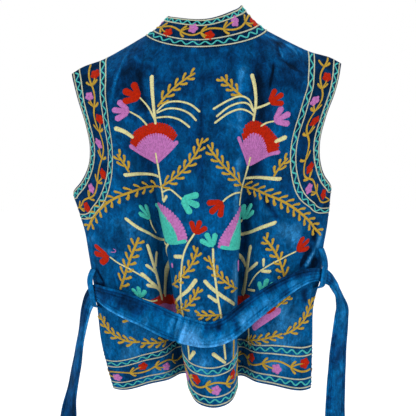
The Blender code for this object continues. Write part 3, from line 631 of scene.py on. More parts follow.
RIGHT_SPRAY = (
    ("ivory", 5, 8, (90, -144), (93, -110), (89, -84), (81, -62)),
    ("ivory", 3.4, 4.4, (90, -126), (80, -106), (66, -100), (46, -106), (18, -121)),
    ("ivory", 3.4, 4.4, (91, -129), (80, -114), (68, -111), (47, -117), (24, -134)),
    ("ivory", 3.4, 4.4, (91, -134), (80, -126), (66, -122), (46, -128), (21, -145)),
    ("fern", (69, -101), -51, 54, 4, 15, 13),
    ("ivory", 4.8, 4.6, (93, -122), (108, -117), (119, -112)),
    ("bud", "red", (116, -113), 58, 28),
    ("ivory", 4, 3.2, (103, -153), (113, -147), (128, -144)),
    ("bud", "pink", (126, -145), 64, 31),
    ("ivory", 7.8, 9.6, (131, -180), (141, -176), (152, -171)),
    ("fan", "pink", "red", (90, -222), UPPER_RIGHT_FAN, 4.6),
    ("pink", 4, 8, (89, -220), (75, -194), (63, -168)),
    ("pink", 4, 9, (92, -220), (113, -208), (130, -200), (145, -197)),
    ("ivory", 5, 4, (91, -203), (87, -238), (80, -257), (76, -277), (73, -290)),
    ("ivory", 5, 7.8, (88, -242), (120, -241), (162, -244)),
    ("fern", (146, -240), 9, 36, 30, 15, 12),
    ("fern", (80, -256), -54, 104, 22, 17, 15),
    ("fern", (82, -256), 97, 228, 34, 17, 17),
    ("ivory", 3.6, 3.6, (76, -266), (58, -267), (44, -274), (36, -281)),
    ("bud", "red", (37, -280), -130, 31),
    ("fan", "turquoise", "pink", (72, -366), RIGHT_HALF_FAN, 6),
    ("turquoise", 8, 8, (72, -364), (48, -363), (26, -359)),
    ("bud", "turquoise", (110, -317), 20, 32),
    ("ivory", 4.4, 4.4, (109, -317), (98, -331), (82, -344)),
    ("ivory", 6, 9, (86, -352), (112, -345), (137, -339), (164, -329), (189, -318)),
    ("bud", "turquoise", (14, -359), -22, 28),
    ("ivory", 4.6, 4.4, (14, -360), (13, -388), (16, -425), (18, -452), (21, -479), (23, -532),
     (24, -560)),
    ("fern", (66, -438), -76, 94, 66, 15, 15),
    ("ivory", 7.4, 8, (56, -466), (27, -447), (6, -429), (-5, -416)),
    ("ivory", 6, 8, (0, -443), (18, -457)),
    ("fern", (24, -479), -92, 46, 6, 14, 13),
    ("ivory", 6, 9, (24, -566), (0, -546)),
    ("gold", 5, 5, (48, -524), (47, -545), (44, -564)),
    ("pink", 5, 6, (70, -408), (69, -386)),
    ("ivory", 16, 14, (139, -462), (142, -436), (144, -400), (147, -362)),
    ("ivory", 5, 5.8, (157, -446), (190, -443)),
    ("ivory", 6.6, 9, (148, -412), (164, -403), (182, -391)),
    ("ivory", 8, 8, (138, -406), (122, -389), (104, -376)),
    ("ivory", 3.4, 3.8, (247, -372), (226, -382), (205, -394), (180, -418), (161, -440)),
    ("ivory", 3.4, 6, (196, -398), (190, -382)),
    ("ivory", 6, 7.4, (193, -405), (212, -406)),
    ("bud", "red", (247, -372), 46, 28),
    ("fern", (245, -430), -24, 112, -30, 16, 17),
    ("bud", "turquoise", (209, -445), 0, 27),
    ("fan", "pink", "red", (146, -534), LOWER_RIGHT_FAN, 6),
    ("red", 11, 10, (221, -482), (236, -471)),
    ("pink", 17, 16, (190, -515), (217, -494), (245, -474)),
    ("ivory", 7, 7, (171, -516), (174, -550)),
    ("ivory", 8, 7, (14, -531), (31, -525)),
    ("fern", (236, -472), 46, 32, 9, 13, 12),
    ("fern", (157, -545), 78, 96, -6, 15, 14),
    ("fern", (250, -522), 80, 93, -76, 15, 14),
)  # fmt: skip

# Belt
BELT_POWERS = (0.7, 0.8)  # of its rounded section, across and through
STITCH_ROWS = (5.0, 10.0)  # from each edge
STITCH_SINK = 1.5
STITCH_GROOVE = 1.2
BELT_RIPPLES = ((0.35, 9.0, 2.0), (0.3, 23.0, -1.4))  # height, length and lean across the belt
PUCKER, PUCKER_LENGTH = 0.28, 2.6  # between the stitches
PUCKER_OFF, PUCKER_REACH = 7.0, 4.0  # from the belt's edges
WRINKLE_END = 1.3  # over 1: how much of its height a wrinkle keeps at its ends
LEAST_THICKNESS = 0.4
SEAM_DIP = 5.0  # from the join or an end, where the padding closes
CLOSED = 0.75  # how far it closes there
CLOSED_WIDTH = 0.3  # share of the width that doesn't close
CLOSED_POWER = 0.2  # how late the width closes against the thickness
STATION_PARTS = (3, 6, 7, 8)  # columns of a station that start its upward way, width, thickness and run
BELT_SHADE = 0.12  # painted highlight on the belt's raised relief and painted shade in its grooves: how much lighter the pile is per mm of relief
# Painted light and shade on the belt: darker along its upper edge and on its hanging ends, lighter along
# its lower edge and near its join. Places are along the belt from its join, and across it (1 is the upper
# edge).
BELT_LIGHT_AND_SHADE = table(
    "across  z   to_across  to_z   lift  spread  bow",
    (-330,   0.4,  -6,      0.4,  -0.26,  0.8,   0),
    (-330,  -1.0,  -8,     -1.0,   0.36,  0.22,  0),
    (-4,    -0.3,  50,     -0.3,   0.46,  0.8,   0),
    (-2,    -1.0, 110,     -1.0,   0.44,  0.55,  0),
    (52,     0.7,  84,      0.2,  -0.30,  0.35,  0),
    (90,    -0.4, 210,     -0.4,   0.14,  0.45,  0),
    (60,     1.0, 330,      1.0,  -0.36,  0.6,   0),
    (90,    -1.0, 300,     -1.0,   0.22,  0.3,   0),
    (340,    0.0, 800,      0.0,  -0.11,  4,     0),
    (-225,   0.0, -800,     0.0,  -0.24,  4,     0),
)  # fmt: skip
# Wrinkles: which length (1 ends at the join, -1 starts there), distance from the join, lean over
# half the width, half width, from and to across the belt (1 is its upper edge) and lift.
WRINKLES = table(
    "side  place  lean  spread  low   high  lift",
    (-1,     3,    1,    2.2,   -1.0,  1.0, -1.6),
    (-1,     8,    2,    2.4,   -1.0,  1.0,  1.0),
    (-1,    14,    3,    2.6,   -1.0,  1.0, -1.2),
    (-1,    46,    6,    5.0,   -0.2,  1.2, -1.2),
    (-1,    58,    8,    5.0,   -0.8,  1.0,  1.2),
    (-1,    70,   10,    5.5,   -0.4,  1.2, -1.5),
    (-1,   104,    4,    6.0,   -0.7,  0.5, -2.0),
    (-1,   118,    9,    7.0,   -1.0,  0.4,  1.3),
    (-1,   168,    6,    7.0,   -0.6,  1.0,  0.9),
    (-1,   214,    6,    6.0,   -1.0,  1.0, -1.2),
    (-1,   226,    4,    5.0,   -1.0,  1.0,  1.0),
    (-1,   330,    6,    5.0,   -1.0,  1.0, -1.4),
    (-1,   342,    6,    6.0,   -1.0,  1.0,  1.2),
    (-1,   470,   10,    9.0,   -1.0,  1.0, -0.8),
    (-1,   510,   -8,    8.0,   -1.0,  1.0,  0.8),
    (1,      4,    1,    2.2,   -1.0,  1.0,  1.6),
    (1,      9,    1,    2.2,   -1.0,  1.0, -1.6),
    (1,     16,    1,    3.4,   -1.0,  1.0,  1.2),
    (1,     60,   -6,    8.0,   -0.9,  0.6,  0.8),
    (1,    114,   -3,    4.0,   -0.5,  1.0, -1.6),
    (1,    126,   -4,    5.0,   -1.0,  0.8,  0.9),
    (1,    146,   -4,    6.0,   -1.0,  0.8, -0.9),
    (1,    300,    8,    9.0,   -1.0,  1.0,  0.8),
    (1,    420,   -8,   10.0,   -1.0,  1.0, -0.8),
)  # fmt: skip

# Velvet: where its ramp's colours lie, and noises, each (features per metre, detail, distortion,
# stretch), with how dark and how light they make it
PILE_STOPS = (0.02, 0.26, 0.5, 0.78, 1.0)
PILE_SHADOW = 0.25  # the darkest colour, painted shade in creases, as a share of the dark one
PILE_GLEAM = (1.4, 0.04)  # the lightest, a painted gleam where the pile catches the light, as a share of the light one and what is added to it
PATCHES = (34, 6, 0.9)
PATCH_SHADE = 0.6
PILE_SHADES = (
    ((60, 4, 0.5, (1, 1, 0.3)), 0.74, 1.24),  # streaks
    ((100, 6, 1.8, (1, 1, 0.6)), 0.70, 1.28),  # crushed spots
    ((420, 3), 0.84, 1.14),  # grain
)
SHADE_STOPS = (0.38, 0.51, 0.66)
THIN_LINES = (30, 5, 1.4, (1, 1, 0.7))
THIN_LINE_STOPS = ((0.47, 1.0), (0.5, 1.35), (0.53, 1.0))
PILE_BUMPS = (((48, 5, 0.8), 0.0022), ((700, 2), 0.0004))  # and their depth in metres

# Wool's dye, its fibres and the spots of a plain colour, with the same noises
DYE, DYE_STOPS, DYE_DARK = (260, 3), (0.35, 0.6), 0.74
FIBRES, FIBRE_DEPTH = (900, 3), 0.0006
SPOTS, SPOT_STOPS = (300, 3), (0.3, 0.7)

# Colours, linear
BODY_BLUES = ((0.0, 0.024, 0.086), (0.0, 0.064, 0.188), (0.020, 0.150, 0.340))
BELT_BLUES = ((0.0, 0.030, 0.110), (0.0, 0.084, 0.236), (0.018, 0.185, 0.440))
INSIDE_BLUE = (0.004, 0.045, 0.120)
YARNS = {
    "ivory": (0.58, 0.55, 0.27),
    "beige": (0.46, 0.47, 0.34),
    "gold": (0.43, 0.275, 0.03),
    "turquoise": (0.05, 0.46, 0.37),
    "teal": (0.055, 0.40, 0.38),
    "red": (0.38, 0.013, 0.001),
    "pink": (0.42, 0.14, 0.38),
}

# Stage, in metres
FLOOR_Z = -0.96
FLOOR_SIZE = 14.0
FLOOR_WHITE = (0.98, 0.98, 0.98)
FLOOR_GLOW = 0.12
WORLD_LIGHT = 1.0
LIT_POINT = (0.0, 0.0, -0.32)
LAMPS = (
    ("key", (-1.3, -1.9, 0.9), 1.0, 16.0),
    ("fill", (1.7, -1.5, 0.0), 1.4, 6.0),
    ("top", (0.2, 0.4, 1.5), 1.2, 10.0),
)
CAMERA_DISTANCE = 1.6
CAMERA_PITCH = 5.0
CAMERA_TARGET = (0.0027, 0.0, -0.3056)
VIEW_WIDTH = 0.7488  # that the camera sees at its target
SENSOR = 36.0
LENS = SENSOR * CAMERA_DISTANCE / VIEW_WIDTH


# --- curves and tables ---


def read(columns, name, at):
    """A smooth curve through one column of a table, read at one place or an array of places."""
    place = columns[next(iter(columns))]
    order = np.argsort(place)
    place, value = place[order], columns[name][order]
    slope = np.gradient(value, place)
    at = np.clip(at, place[0], place[-1])
    k = np.clip(np.searchsorted(place, at) - 1, 0, len(place) - 2)
    step = place[k + 1] - place[k]
    t = (at - place[k]) / step
    return (
        (1 + 2 * t) * (1 - t) ** 2 * value[k]
        + t * (1 - t) ** 2 * step * slope[k]
        + t**2 * (3 - 2 * t) * value[k + 1]
        + t**2 * (t - 1) * step * slope[k + 1]
    )


def smoothstep(t):
    t = np.clip(t, 0, 1)
    return t * t * (3 - 2 * t)


def round_over(t, power):
    """0 to 1 on a quarter circle where the power is 0.5, and on a parabola where it is 1."""
    return np.maximum(1 - (1 - np.clip(t, 0, 1)) ** 2, 0) ** power


def bell(distance, spread):
    return np.exp(-((distance / spread) ** 2))


def mixed(low, high, share):
    return low + (high - low) * share


def row_at(columns, place):
    """Every column of a table, read at one place."""
    return {name: float(read(columns, name, place)) for name in columns}


def rows_of(columns):
    """The rows of a table, each as its numbers by name."""
    return [dict(zip(columns, map(float, row))) for row in zip(*columns.values())]


def unit(vectors):
    return vectors / np.maximum(np.linalg.norm(vectors, axis=-1, keepdims=True), 1e-9)


def curve_through(points):
    """A centripetal Catmull-Rom curve through all but the first and last points, which only steer it."""
    t = np.concatenate([[0], np.cumsum(np.linalg.norm(np.diff(points, axis=0), axis=1) ** 0.5)])
    share = np.arange(CURVE_SAMPLES) / CURVE_SAMPLES
    pieces = []
    for k in range(1, len(points) - 2):
        at = (t[k] + (t[k + 1] - t[k]) * share)[:, None]
        near = [lerp_at(points, t, n, n + 1, at) for n in (k - 1, k, k + 1)]
        early = ((t[k + 1] - at) * near[0] + (at - t[k - 1]) * near[1]) / (t[k + 1] - t[k - 1])
        late = ((t[k + 2] - at) * near[1] + (at - t[k]) * near[2]) / (t[k + 2] - t[k])
        pieces.append(((t[k + 1] - at) * early + (at - t[k]) * late) / (t[k + 1] - t[k]))
    return np.vstack([*pieces, points[-2:-1]])


def lerp_at(points, t, a, b, at):
    return ((t[b] - at) * points[a] + (at - t[a]) * points[b]) / (t[b] - t[a])


def length_along(curve):
    return np.concatenate([[0], np.cumsum(np.linalg.norm(np.diff(curve, axis=0), axis=1))])


def carried_on(points):
    """The points with one more at each end, as far on again."""
    first, last = 2 * points[[0, -1]] - points[[1, -2]]
    return np.concatenate([[first], points, [last]])


def read_at(places, along, rows):
    """Rows of numbers that lie at known lengths along a line, read at other places on it."""
    return np.stack([np.interp(places, along, column) for column in rows.T], -1)


def evenly(curve, first, last, steps):
    """Evenly spaced points along a dense curve, from the length first to the length last."""
    return read_at(np.linspace(first, last, steps + 1), length_along(curve), curve)


def at_height(rows, level, z):
    """Reads each column of rows, which lie at falling levels, at the heights z of its own column."""
    return np.stack([np.interp(-at, -level, column) for at, column in zip(z.T, rows.T)], axis=1)


def heights(top, hem):
    """The height of every row below each point of the top edge, down to the same column's hem."""
    even = np.linspace(0, 1, TOP_ROWS + 1)[:, None]
    upper = even + (smoothstep(even) - even) * ROW_CROWDING
    lower = np.linspace(0, 1, LOW_ROWS + 1)[1:, None]
    return np.vstack([top + (UNDERARM_Z - top) * upper, UNDERARM_Z + (hem - UNDERARM_Z) * lower])


def hang_askew(points):
    """Lifts the wearer's right and lowers the left, fully at the shoulders and not at all at the hem."""
    share = np.clip((points[..., 2] - HEM_Z) / (SHOULDER_TIP_Z - HEM_Z), 0, 1)
    moved = points.copy()
    moved[..., 2] += ASKEW * share * points[..., 0] / SHOULDER_TIP_X
    return moved


def levels():
    """The heights that sections are worked out at, down past the hem's lowest point."""
    return np.arange(NECK_POINT_Z, HEM_Z - 4 * LEVEL_STEP, -LEVEL_STEP)


# --- the back ---


def back_section(z):
    """The back's section at one height, as evenly spaced points between its edges and fold lines."""
    row, edge = row_at(BACK, z), row_at(OUTLINE, z)
    depth = row["valley_y"] - row["crest_y"]
    deep = smoothstep(depth / DEEP_FOLD)
    out, back = (mixed(FOLD["soft_" + way], FOLD["deep_" + way], deep) for way in ("out", "deep"))
    halves = []
    for side, form in ((-1, edge["form_left"]), (1, edge["form_right"])):
        fold = np.stack([row["fold_x"] + side * out * row["fold_half"], row["crest_y"] + depth * back], -1)
        seam = np.array([side * form, 0.0])
        outer = mixed(seam[0], fold[0, 0], OUTER_SHARE), row["outer_y"]
        inner = mixed(seam[0], fold[0, 0], INNER_SHARE), row["inner_y"]
        bottom = fold[0] + (side * VALLEY_ROUND, 0)
        halves.append(np.vstack([seam + (0, BEYOND_SEAM), seam, outer, inner, bottom, fold]))
    left, right = halves
    curve = curve_through(np.vstack([left, right[-2::-1]]))
    along = length_along(curve)
    to_valley, to_crest = (int(n * CURVE_SAMPLES) for n in (VALLEY_PLACE, CREST_PLACE))
    cuts = [
        np.interp(-edge["left"], curve[:to_valley, 0], along[:to_valley]),
        *along[[to_valley, to_crest, -1 - to_valley]],
        np.interp(edge["right"], curve[-to_valley:, 0], along[-to_valley:]),
    ]
    steps = (PANEL_COLUMNS, FOLD_COLUMNS, FOLD_COLUMNS, PANEL_COLUMNS)
    places = [np.linspace(low, high, n + 1)[1:] for low, high, n in zip(cuts, cuts[1:], steps)]
    return read_at(np.concatenate([cuts[:1], *places]), along, curve)


def shoulder_edge():
    """Distance from the middle and height of a shoulder seam's points, from its tip to the neck."""
    x = np.linspace(SHOULDER_TIP_X, NECK_HALF_WIDTH, PANEL_COLUMNS + 1)
    return x, read(SHOULDER, "z", x)


def back_top_edge():
    """The shoulder seams and the back neckline between them, as one row of points."""
    x, z = shoulder_edge()
    shoulder = np.stack([-x, 0 * x, z], -1)
    angle = np.linspace(-math.pi / 2, math.pi / 2, 2 * FOLD_COLUMNS + 1)[1:-1]
    drop = BACK_NECK_DROP * np.cos(angle) ** BACK_NECK_CURVE
    across, back = NECK_HALF_WIDTH * np.sin(angle), BACK_NECK_DEPTH * np.cos(angle)
    neck = np.stack([across, -back, NECK_POINT_Z - drop], -1)
    return np.vstack([shoulder, neck, (shoulder * (-1, 1, 1))[::-1]])


def back_grid():
    top = back_top_edge()
    panel = np.linspace(-2, -1, PANEL_COLUMNS + 1)
    fold = np.linspace(-1, 0, FOLD_COLUMNS + 1)[1:]
    place = np.concatenate([panel, fold, -fold[-2::-1], -panel[::-1]])
    z = heights(top[:, 2], read(HEM, "z", place))
    sections = np.stack([back_section(level) for level in levels()])
    x, y = (at_height(sections[..., k], levels(), z) for k in (0, 1))
    power = mixed(TIP_POWER, BACK_NECK_POWER, np.clip(2 - np.abs(place), 0, 1))
    fade = 1 - round_over((top[:, 2] - z) / BACK_ROUND, power)
    x += (top[:, 0] - x[0]) * fade
    y += (top[:, 1] - y[0]) * fade
    return np.stack([x, y, z], -1)


# --- the fronts ---


def neck_gap(z):
    """Half of the opening between the fronts: the neckline down to its lowest point, then the gap."""
    neck_z = heights(np.array([NECK_POINT_Z]), HEM_Z)[NECK_ROWS, 0]
    share = np.clip((NECK_POINT_Z - z) / (NECK_POINT_Z - neck_z), 0, 1)
    gap = float(read(FRONT, "gap", z))
    return gap + (NECK_HALF_WIDTH - gap) * (1 - share**FRONT_NECK_CURVE)


def front_section(z, side):
    """A front's section at one height, from its armhole or side seam to its inner edge."""
    name = "left" if side < 0 else "right"
    outline, front = row_at(OUTLINE, z), row_at(FRONT, z)
    edge, oval = outline[name] - front["inset"], outline["form_" + name] - front["narrower"]
    angle = np.linspace(0, math.pi / 2, OVAL_SAMPLES)
    power = 2 / FRONT_OVAL
    curve = np.stack([oval * np.cos(angle) ** power, front["depth"] * np.sin(angle) ** power], -1)
    first, last = np.interp([-edge, -neck_gap(z)], -curve[:, 0], length_along(curve))
    return evenly(curve, first, last, PANEL_COLUMNS) * (side, 1)


def front_grid(side):
    top_x, top_z = shoulder_edge()
    share = np.linspace(0, 1, PANEL_COLUMNS + 1)
    side_hem = float(read(HEM, "z", 2.0 * side))
    z = heights(top_z, np.full(PANEL_COLUMNS + 1, side_hem))
    sections = np.stack([front_section(level, side) for level in levels()])
    x, y = (at_height(sections[..., k], levels(), z) for k in (0, 1))
    grown = round_over((top_z - z) / FRONT_ROUND, mixed(TIP_POWER, FRONT_NECK_POWER, share))
    x += (side * top_x - x[0]) * (1 - grown)
    y *= grown
    swell = smoothstep((FRONT_FOLD_TOP_Z - z) / (FRONT_FOLD_TOP_Z - HEM_Z))
    waves = np.sin(math.pi * share) * np.sin(FRONT_FOLDS * math.pi * share + FOLD_PHASE[side])
    y += FRONT_FOLD * swell * waves
    return np.stack([x, y, z], -1)


# --- the collar ---


def neckline(grids):
    """The whole neckline from the left front's edge round the back of the neck to the right front's."""
    left = grids["front_left"][NECK_ROWS:0:-1, -1]
    back = grids["back"][0, PANEL_COLUMNS : PANEL_COLUMNS + 2 * FOLD_COLUMNS + 1]
    right = grids["front_right"][1 : NECK_ROWS + 1, -1]
    return np.vstack([left, back, right])


def collar_grid(grids):
    """The collar's rows from its top edge down to the neckline, which leans inwards all round."""
    base = neckline(grids)
    front = np.linspace(-2, -1, NECK_ROWS + 1)[:-1]
    back = np.linspace(-1, 1, 2 * FOLD_COLUMNS + 1)
    place = np.concatenate([front, back, -front[::-1]])
    height = read(COLLAR, "height", place)
    share = [read(COLLAR, "narrow_x", place), read(COLLAR, "narrow_y", place), 0 * place]
    narrower = -base * np.stack(share, -1)
    inward = unit(narrower)
    lean = np.degrees(np.arcsin(np.linalg.norm(narrower, axis=1) / height))
    rows = [base]
    for k in range(COLLAR_ROWS):
        bow = COLLAR_BOW * (1 - 2 * (k + 0.5) / COLLAR_ROWS)
        angle = np.radians(lean + bow)[:, None]
        rise = np.sin(angle) * inward + np.cos(angle) * np.array([0, 0, 1])
        rows.append(rows[-1] + height[:, None] / COLLAR_ROWS * rise)
    return np.stack(rows[::-1])


# --- walls and their seams ---


def grid_normals(grid):
    """Unit normals of a grid, each the mean of the ones of the squares around its point."""
    down, across = np.diff(grid, axis=0), np.diff(grid, axis=1)
    squares = unit(np.cross(down[:, :-1] + down[:, 1:], across[:-1] + across[1:]))
    total = np.zeros_like(grid)
    for rows in (slice(None, -1), slice(1, None)):
        for columns in (slice(None, -1), slice(1, None)):
            total[rows, columns] += squares
    return unit(total)


def outward_normals(grid):
    """The grid's normals, all turned to the side that faces away from the wearer."""
    normals = grid_normals(grid)
    away = (grid - WEARER_MIDDLE) * (1, 1, 0)
    return normals * np.sign(np.sum(normals * away))


def seam_points():
    """Every seam point, as the places (piece, row, column) that meet there."""
    seams = []
    for row in range(TOP_ROWS, TOP_ROWS + LOW_ROWS + 1):
        seams.append([("back", row, 0), ("front_left", row, 0)])
        seams.append([("back", row, LAST_COLUMN), ("front_right", row, 0)])
    for column in range(PANEL_COLUMNS + 1):
        neck = column == PANEL_COLUMNS
        left, right = ([("collar", COLLAR_ROWS, end)] * neck for end in (NECK_ROWS, NECK_END))
        seams.append([("back", 0, column), ("front_left", 0, column), *left])
        seams.append([("back", 0, LAST_COLUMN - column), ("front_right", 0, column), *right])
    for k in range(1, 2 * FOLD_COLUMNS):
        seams.append([("back", 0, PANEL_COLUMNS + k), ("collar", COLLAR_ROWS, NECK_ROWS + k)])
    for k in range(1, NECK_ROWS + 1):
        for name, column in (("front_left", NECK_ROWS - k), ("front_right", NECK_END + k)):
            seams.append([(name, k, PANEL_COLUMNS), ("collar", COLLAR_ROWS, column)])
    return seams


def join_seams(grids, normals):
    """Gives pieces that meet one shared normal at each seam point and draws each half a gap back."""
    for places in seam_points():
        shared = unit(sum(normals[name][row, column] for name, row, column in places))
        for name, row, column in places:
            normals[name][row, column] = shared
    low, neck = slice(TOP_ROWS, None), slice(0, NECK_ROWS + 1)
    edges = [
        ("back", (low, 0), (low, 1)),
        ("back", (low, LAST_COLUMN), (low, LAST_COLUMN - 1)),
        ("back", (0,), (1,)),
        ("collar", (COLLAR_ROWS,), (COLLAR_ROWS - 1,)),
    ]
    for name in ("front_left", "front_right"):
        edges.append((name, (low, 0), (low, 1)))
        edges.append((name, (0,), (1,)))
        edges.append((name, (neck, PANEL_COLUMNS), (neck, PANEL_COLUMNS - 1)))
    drawn = {name: grid.copy() for name, grid in grids.items()}
    for name, edge, within in edges:
        drawn[name][edge] += SEAM_GAP / 2 * unit(grids[name][within] - grids[name][edge])
    return drawn


# --- the belt and its loops ---


def on_back(back, side, column, z):
    """The point and normal of the back at a height, some columns in from its side edge."""
    near = int(column)
    parts = (part[TOP_ROWS:, :: -side] for part in back)
    line, turn = (mixed(part[:, near], part[:, near + 1], column - near) for part in parts)
    point, normal = (read_at(-z, -line[:, 2], part) for part in (line, turn))
    return point, unit(normal)


def loop_numbers(side):
    return next(row for row in rows_of(LOOPS) if row["side"] == side)


def loop_grid(back, side):
    """A narrow strip from its upper stitching over the belt to its lower stitching."""
    row = loop_numbers(side)
    flat = BODY_CLOTH / 2 + LAID_GAP + LOOP_CLOTH / 2
    bow = BELT_IN_LOOP + LOOP_SLACK
    clear = row["wide"] / 2 + LOOP_SLACK / 2
    columns = [row["column"] * FINE + k * LOOP_HALF_COLUMNS for k in (-1, 0, 1)]
    strips = []
    for share in np.linspace(0, 1, LOOP_STEPS + 1):
        z = row["top_z"] + (row["low_z"] - row["top_z"]) * share
        middle = on_back(back, side, columns[1], z)[1]
        above = (row["top_z"] - z) / (row["top_z"] - row["belt_z"] - clear)
        below = (z - row["low_z"]) / (row["belt_z"] - clear - row["low_z"])
        lift = middle * bow * min(round_over(above, 1), round_over(below, 0.5))
        strip = [on_back(back, side, column, z) for column in columns]
        strips.append([point + normal * flat + lift for point, normal in strip])
    return np.array(strips)


def loop_station(back, side):
    """The belt's station in a loop, where it is squeezed thick and narrow and lies on the back."""
    row = loop_numbers(side)
    z, half, column = row["belt_z"], row["wide"] / 2, row["column"] * FINE
    above, below = (on_back(back, side, column, z + rise)[0] for rise in (half, -half))
    point, normal = on_back(back, side, column, z)
    centre = point + normal * (BODY_CLOTH / 2 + LAID_GAP + BELT_IN_LOOP / 2)
    return (*centre, *unit(above - below), row["wide"], BELT_IN_LOOP)


def tail_stations(tail, side):
    """The stations of one of the belt's loose ends, from its loop down."""
    stations = []
    for row in rows_of(tail):
        up = unit(np.array([side * row["out"], row["front"], row["up"]]))
        stations.append((row["x"], row["y"], row["z"], *up, row["wide"], row["thick"]))
    return stations


def belt_stations(back):
    """The belt's stations from its left end to its right one: centre, upward way, width, thickness."""
    stations = [*tail_stations(LEFT_TAIL, -1)[::-1], loop_station(back, -1)]
    for row in rows_of(BELT_BACK):
        lean = math.radians(row["lean"])
        up = (0, math.sin(lean), math.cos(lean))
        stations.append((row["x"], row["y"], row["z"], *up, row["wide"], row["thick"]))
    return np.array([*stations, loop_station(back, 1), *tail_stations(RIGHT_TAIL, 1)])


def belt_path(back):
    """The stations as one smooth dense path: centre, upward way, width, thickness and running way."""
    path = curve_through(carried_on(belt_stations(back)))
    run = unit(np.gradient(path[:, :3], axis=0))
    up = path[:, 3:6]
    path[:, 3:6] = unit(up - run * np.sum(up * run, axis=1, keepdims=True))
    return np.hstack([path, run])


# --- cloth as a flat plan ---


class Plan:
    """Cloth laid flat: its outer surface, read at places (across, z) or (along, off)."""

    def __init__(self, points, normals, first, step):
        self.points, self.normals = points, normals
        self.first, self.step = np.array(first, float), np.array(step, float)

    def at(self, places):
        where = (np.asarray(places, float) - self.first) / self.step
        rows, columns = self.points.shape[:2]
        where = np.clip(where, 0, (columns - SHORT_OF_LAST, rows - SHORT_OF_LAST))
        low = where.astype(int)
        over, down = np.moveaxis(where - low, -1, 0)[..., None]
        j, i = low[..., 0], low[..., 1]

        def mix(field):
            upper = field[i, j] * (1 - over) + field[i, j + 1] * over
            lower = field[i + 1, j] * (1 - over) + field[i + 1, j + 1] * over
            return upper * (1 - down) + lower * down

        return mix(self.points), unit(mix(self.normals))


class Panel:
    """A body panel: its grid, hung askew, and where each of its points lies on the flat cloth."""

    def __init__(self, name, grid):
        self.name = name
        self.flat_z = grid[..., 2].copy()
        self.hung = hang_askew(grid)
        self.level = np.arange(self.flat_z.max(), self.flat_z.min(), -LEVEL_STEP)
        rows = self.at_levels(self.hung)
        across = np.stack([length_along(row) for row in rows])
        if name == "back":
            zero = across[:, across.shape[1] // 2]
        else:
            zero = [np.interp(-FRONT_GRAIN_X, -abs(row[:, 0]), at) for row, at in zip(rows, across)]
        self.across = across - np.reshape(zero, (-1, 1))
        self.grid_across = at_height(self.across, self.level, self.flat_z)

    def at_levels(self, field):
        """A field of the grid, read in each column at even heights."""
        columns = zip(self.flat_z.T, np.moveaxis(field, 1, 0))
        return np.stack([read_at(-self.level, -z, column) for z, column in columns], axis=1)

    def make_plan(self, grid, normals):
        """Makes the plan of the outer surface of the cloth, from its creased grid."""
        places = np.arange(self.across.min(), self.across.max() + ACROSS_STEP, ACROSS_STEP)
        fields = (self.at_levels(field) for field in (grid + normals * BODY_CLOTH / 2, normals))
        even = (
            np.stack([read_at(places, at, row) for at, row in zip(self.across, field)])
            for field in fields
        )
        self.plan = Plan(*even, (places[0], self.level[0]), (ACROSS_STEP, -LEVEL_STEP))

    def edges(self, z):
        """Both ends of the cloth at a height, as distances across."""
        return [np.interp(-z, -self.level, self.across[:, end]) for end in (0, -1)]

    def along_row(self, row):
        """A row of the grid on the flat cloth: its distances across, rising, and heights."""
        order = np.argsort(self.grid_across[row])
        return self.grid_across[row][order], self.flat_z[row][order]


# --- meshes ---


def new_object(name, data):
    made = bpy.data.objects.new(name, data)
    bpy.context.scene.collection.objects.link(made)
    return made


class Mesh:
    """Points and faces that gather from several parts of one piece."""

    def __init__(self):
        self.points, self.faces, self.count = [], [], 0

    def add(self, points, faces):
        self.points.append(points.reshape(-1, 3))
        self.faces += [tuple(int(n) + self.count for n in face) for face in faces]
        self.count += len(self.points[-1])

    def make(self, name, materials, slot, sharp=CLOTH_SHARP):
        """The gathered piece as an object, its faces turned to point out of it."""
        mesh = bpy.data.meshes.new(name)
        mesh.from_pydata((np.vstack(self.points) * METRES).tolist(), [], self.faces)
        mesh.validate()
        mesh.shade_smooth()
        mesh.set_sharp_from_angle(angle=math.radians(sharp))
        for material in materials:
            mesh.materials.append(material)
        mesh.calc_loop_triangles()
        points = np.empty(len(mesh.vertices) * 3)
        corners = np.empty(len(mesh.loop_triangles) * 3, dtype=int)
        mesh.vertices.foreach_get("co", points)
        mesh.loop_triangles.foreach_get("vertices", corners)
        a, b, c = points.reshape(-1, 3)[corners.reshape(-1, 3)].transpose(1, 0, 2)
        if np.sum(a * np.cross(b, c)) < 0:
            mesh.flip_normals()
        made = new_object(name, mesh)
        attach(made, "root")
        return made


def set_nap_and_shade(made, nap_and_shade):
    """Says how light the pile looks at each point of a piece, with its painted light and shade, 0.5 being
    plain.
    """
    made.data.attributes.new("nap_and_shade", "FLOAT", "POINT").data.foreach_set("value", nap_and_shade)


def lattice_faces(rows, columns, closed=False):
    """The squares of a lattice of points, whose last column joins the first where it is closed."""
    number = np.arange(rows * columns).reshape(rows, columns)
    beside = np.roll(number, -1, axis=1)
    if not closed:
        number, beside = number[:, :-1], beside[:, :-1]
    return np.stack([number[:-1], number[1:], beside[1:], beside[:-1]], -1).reshape(-1, 4)


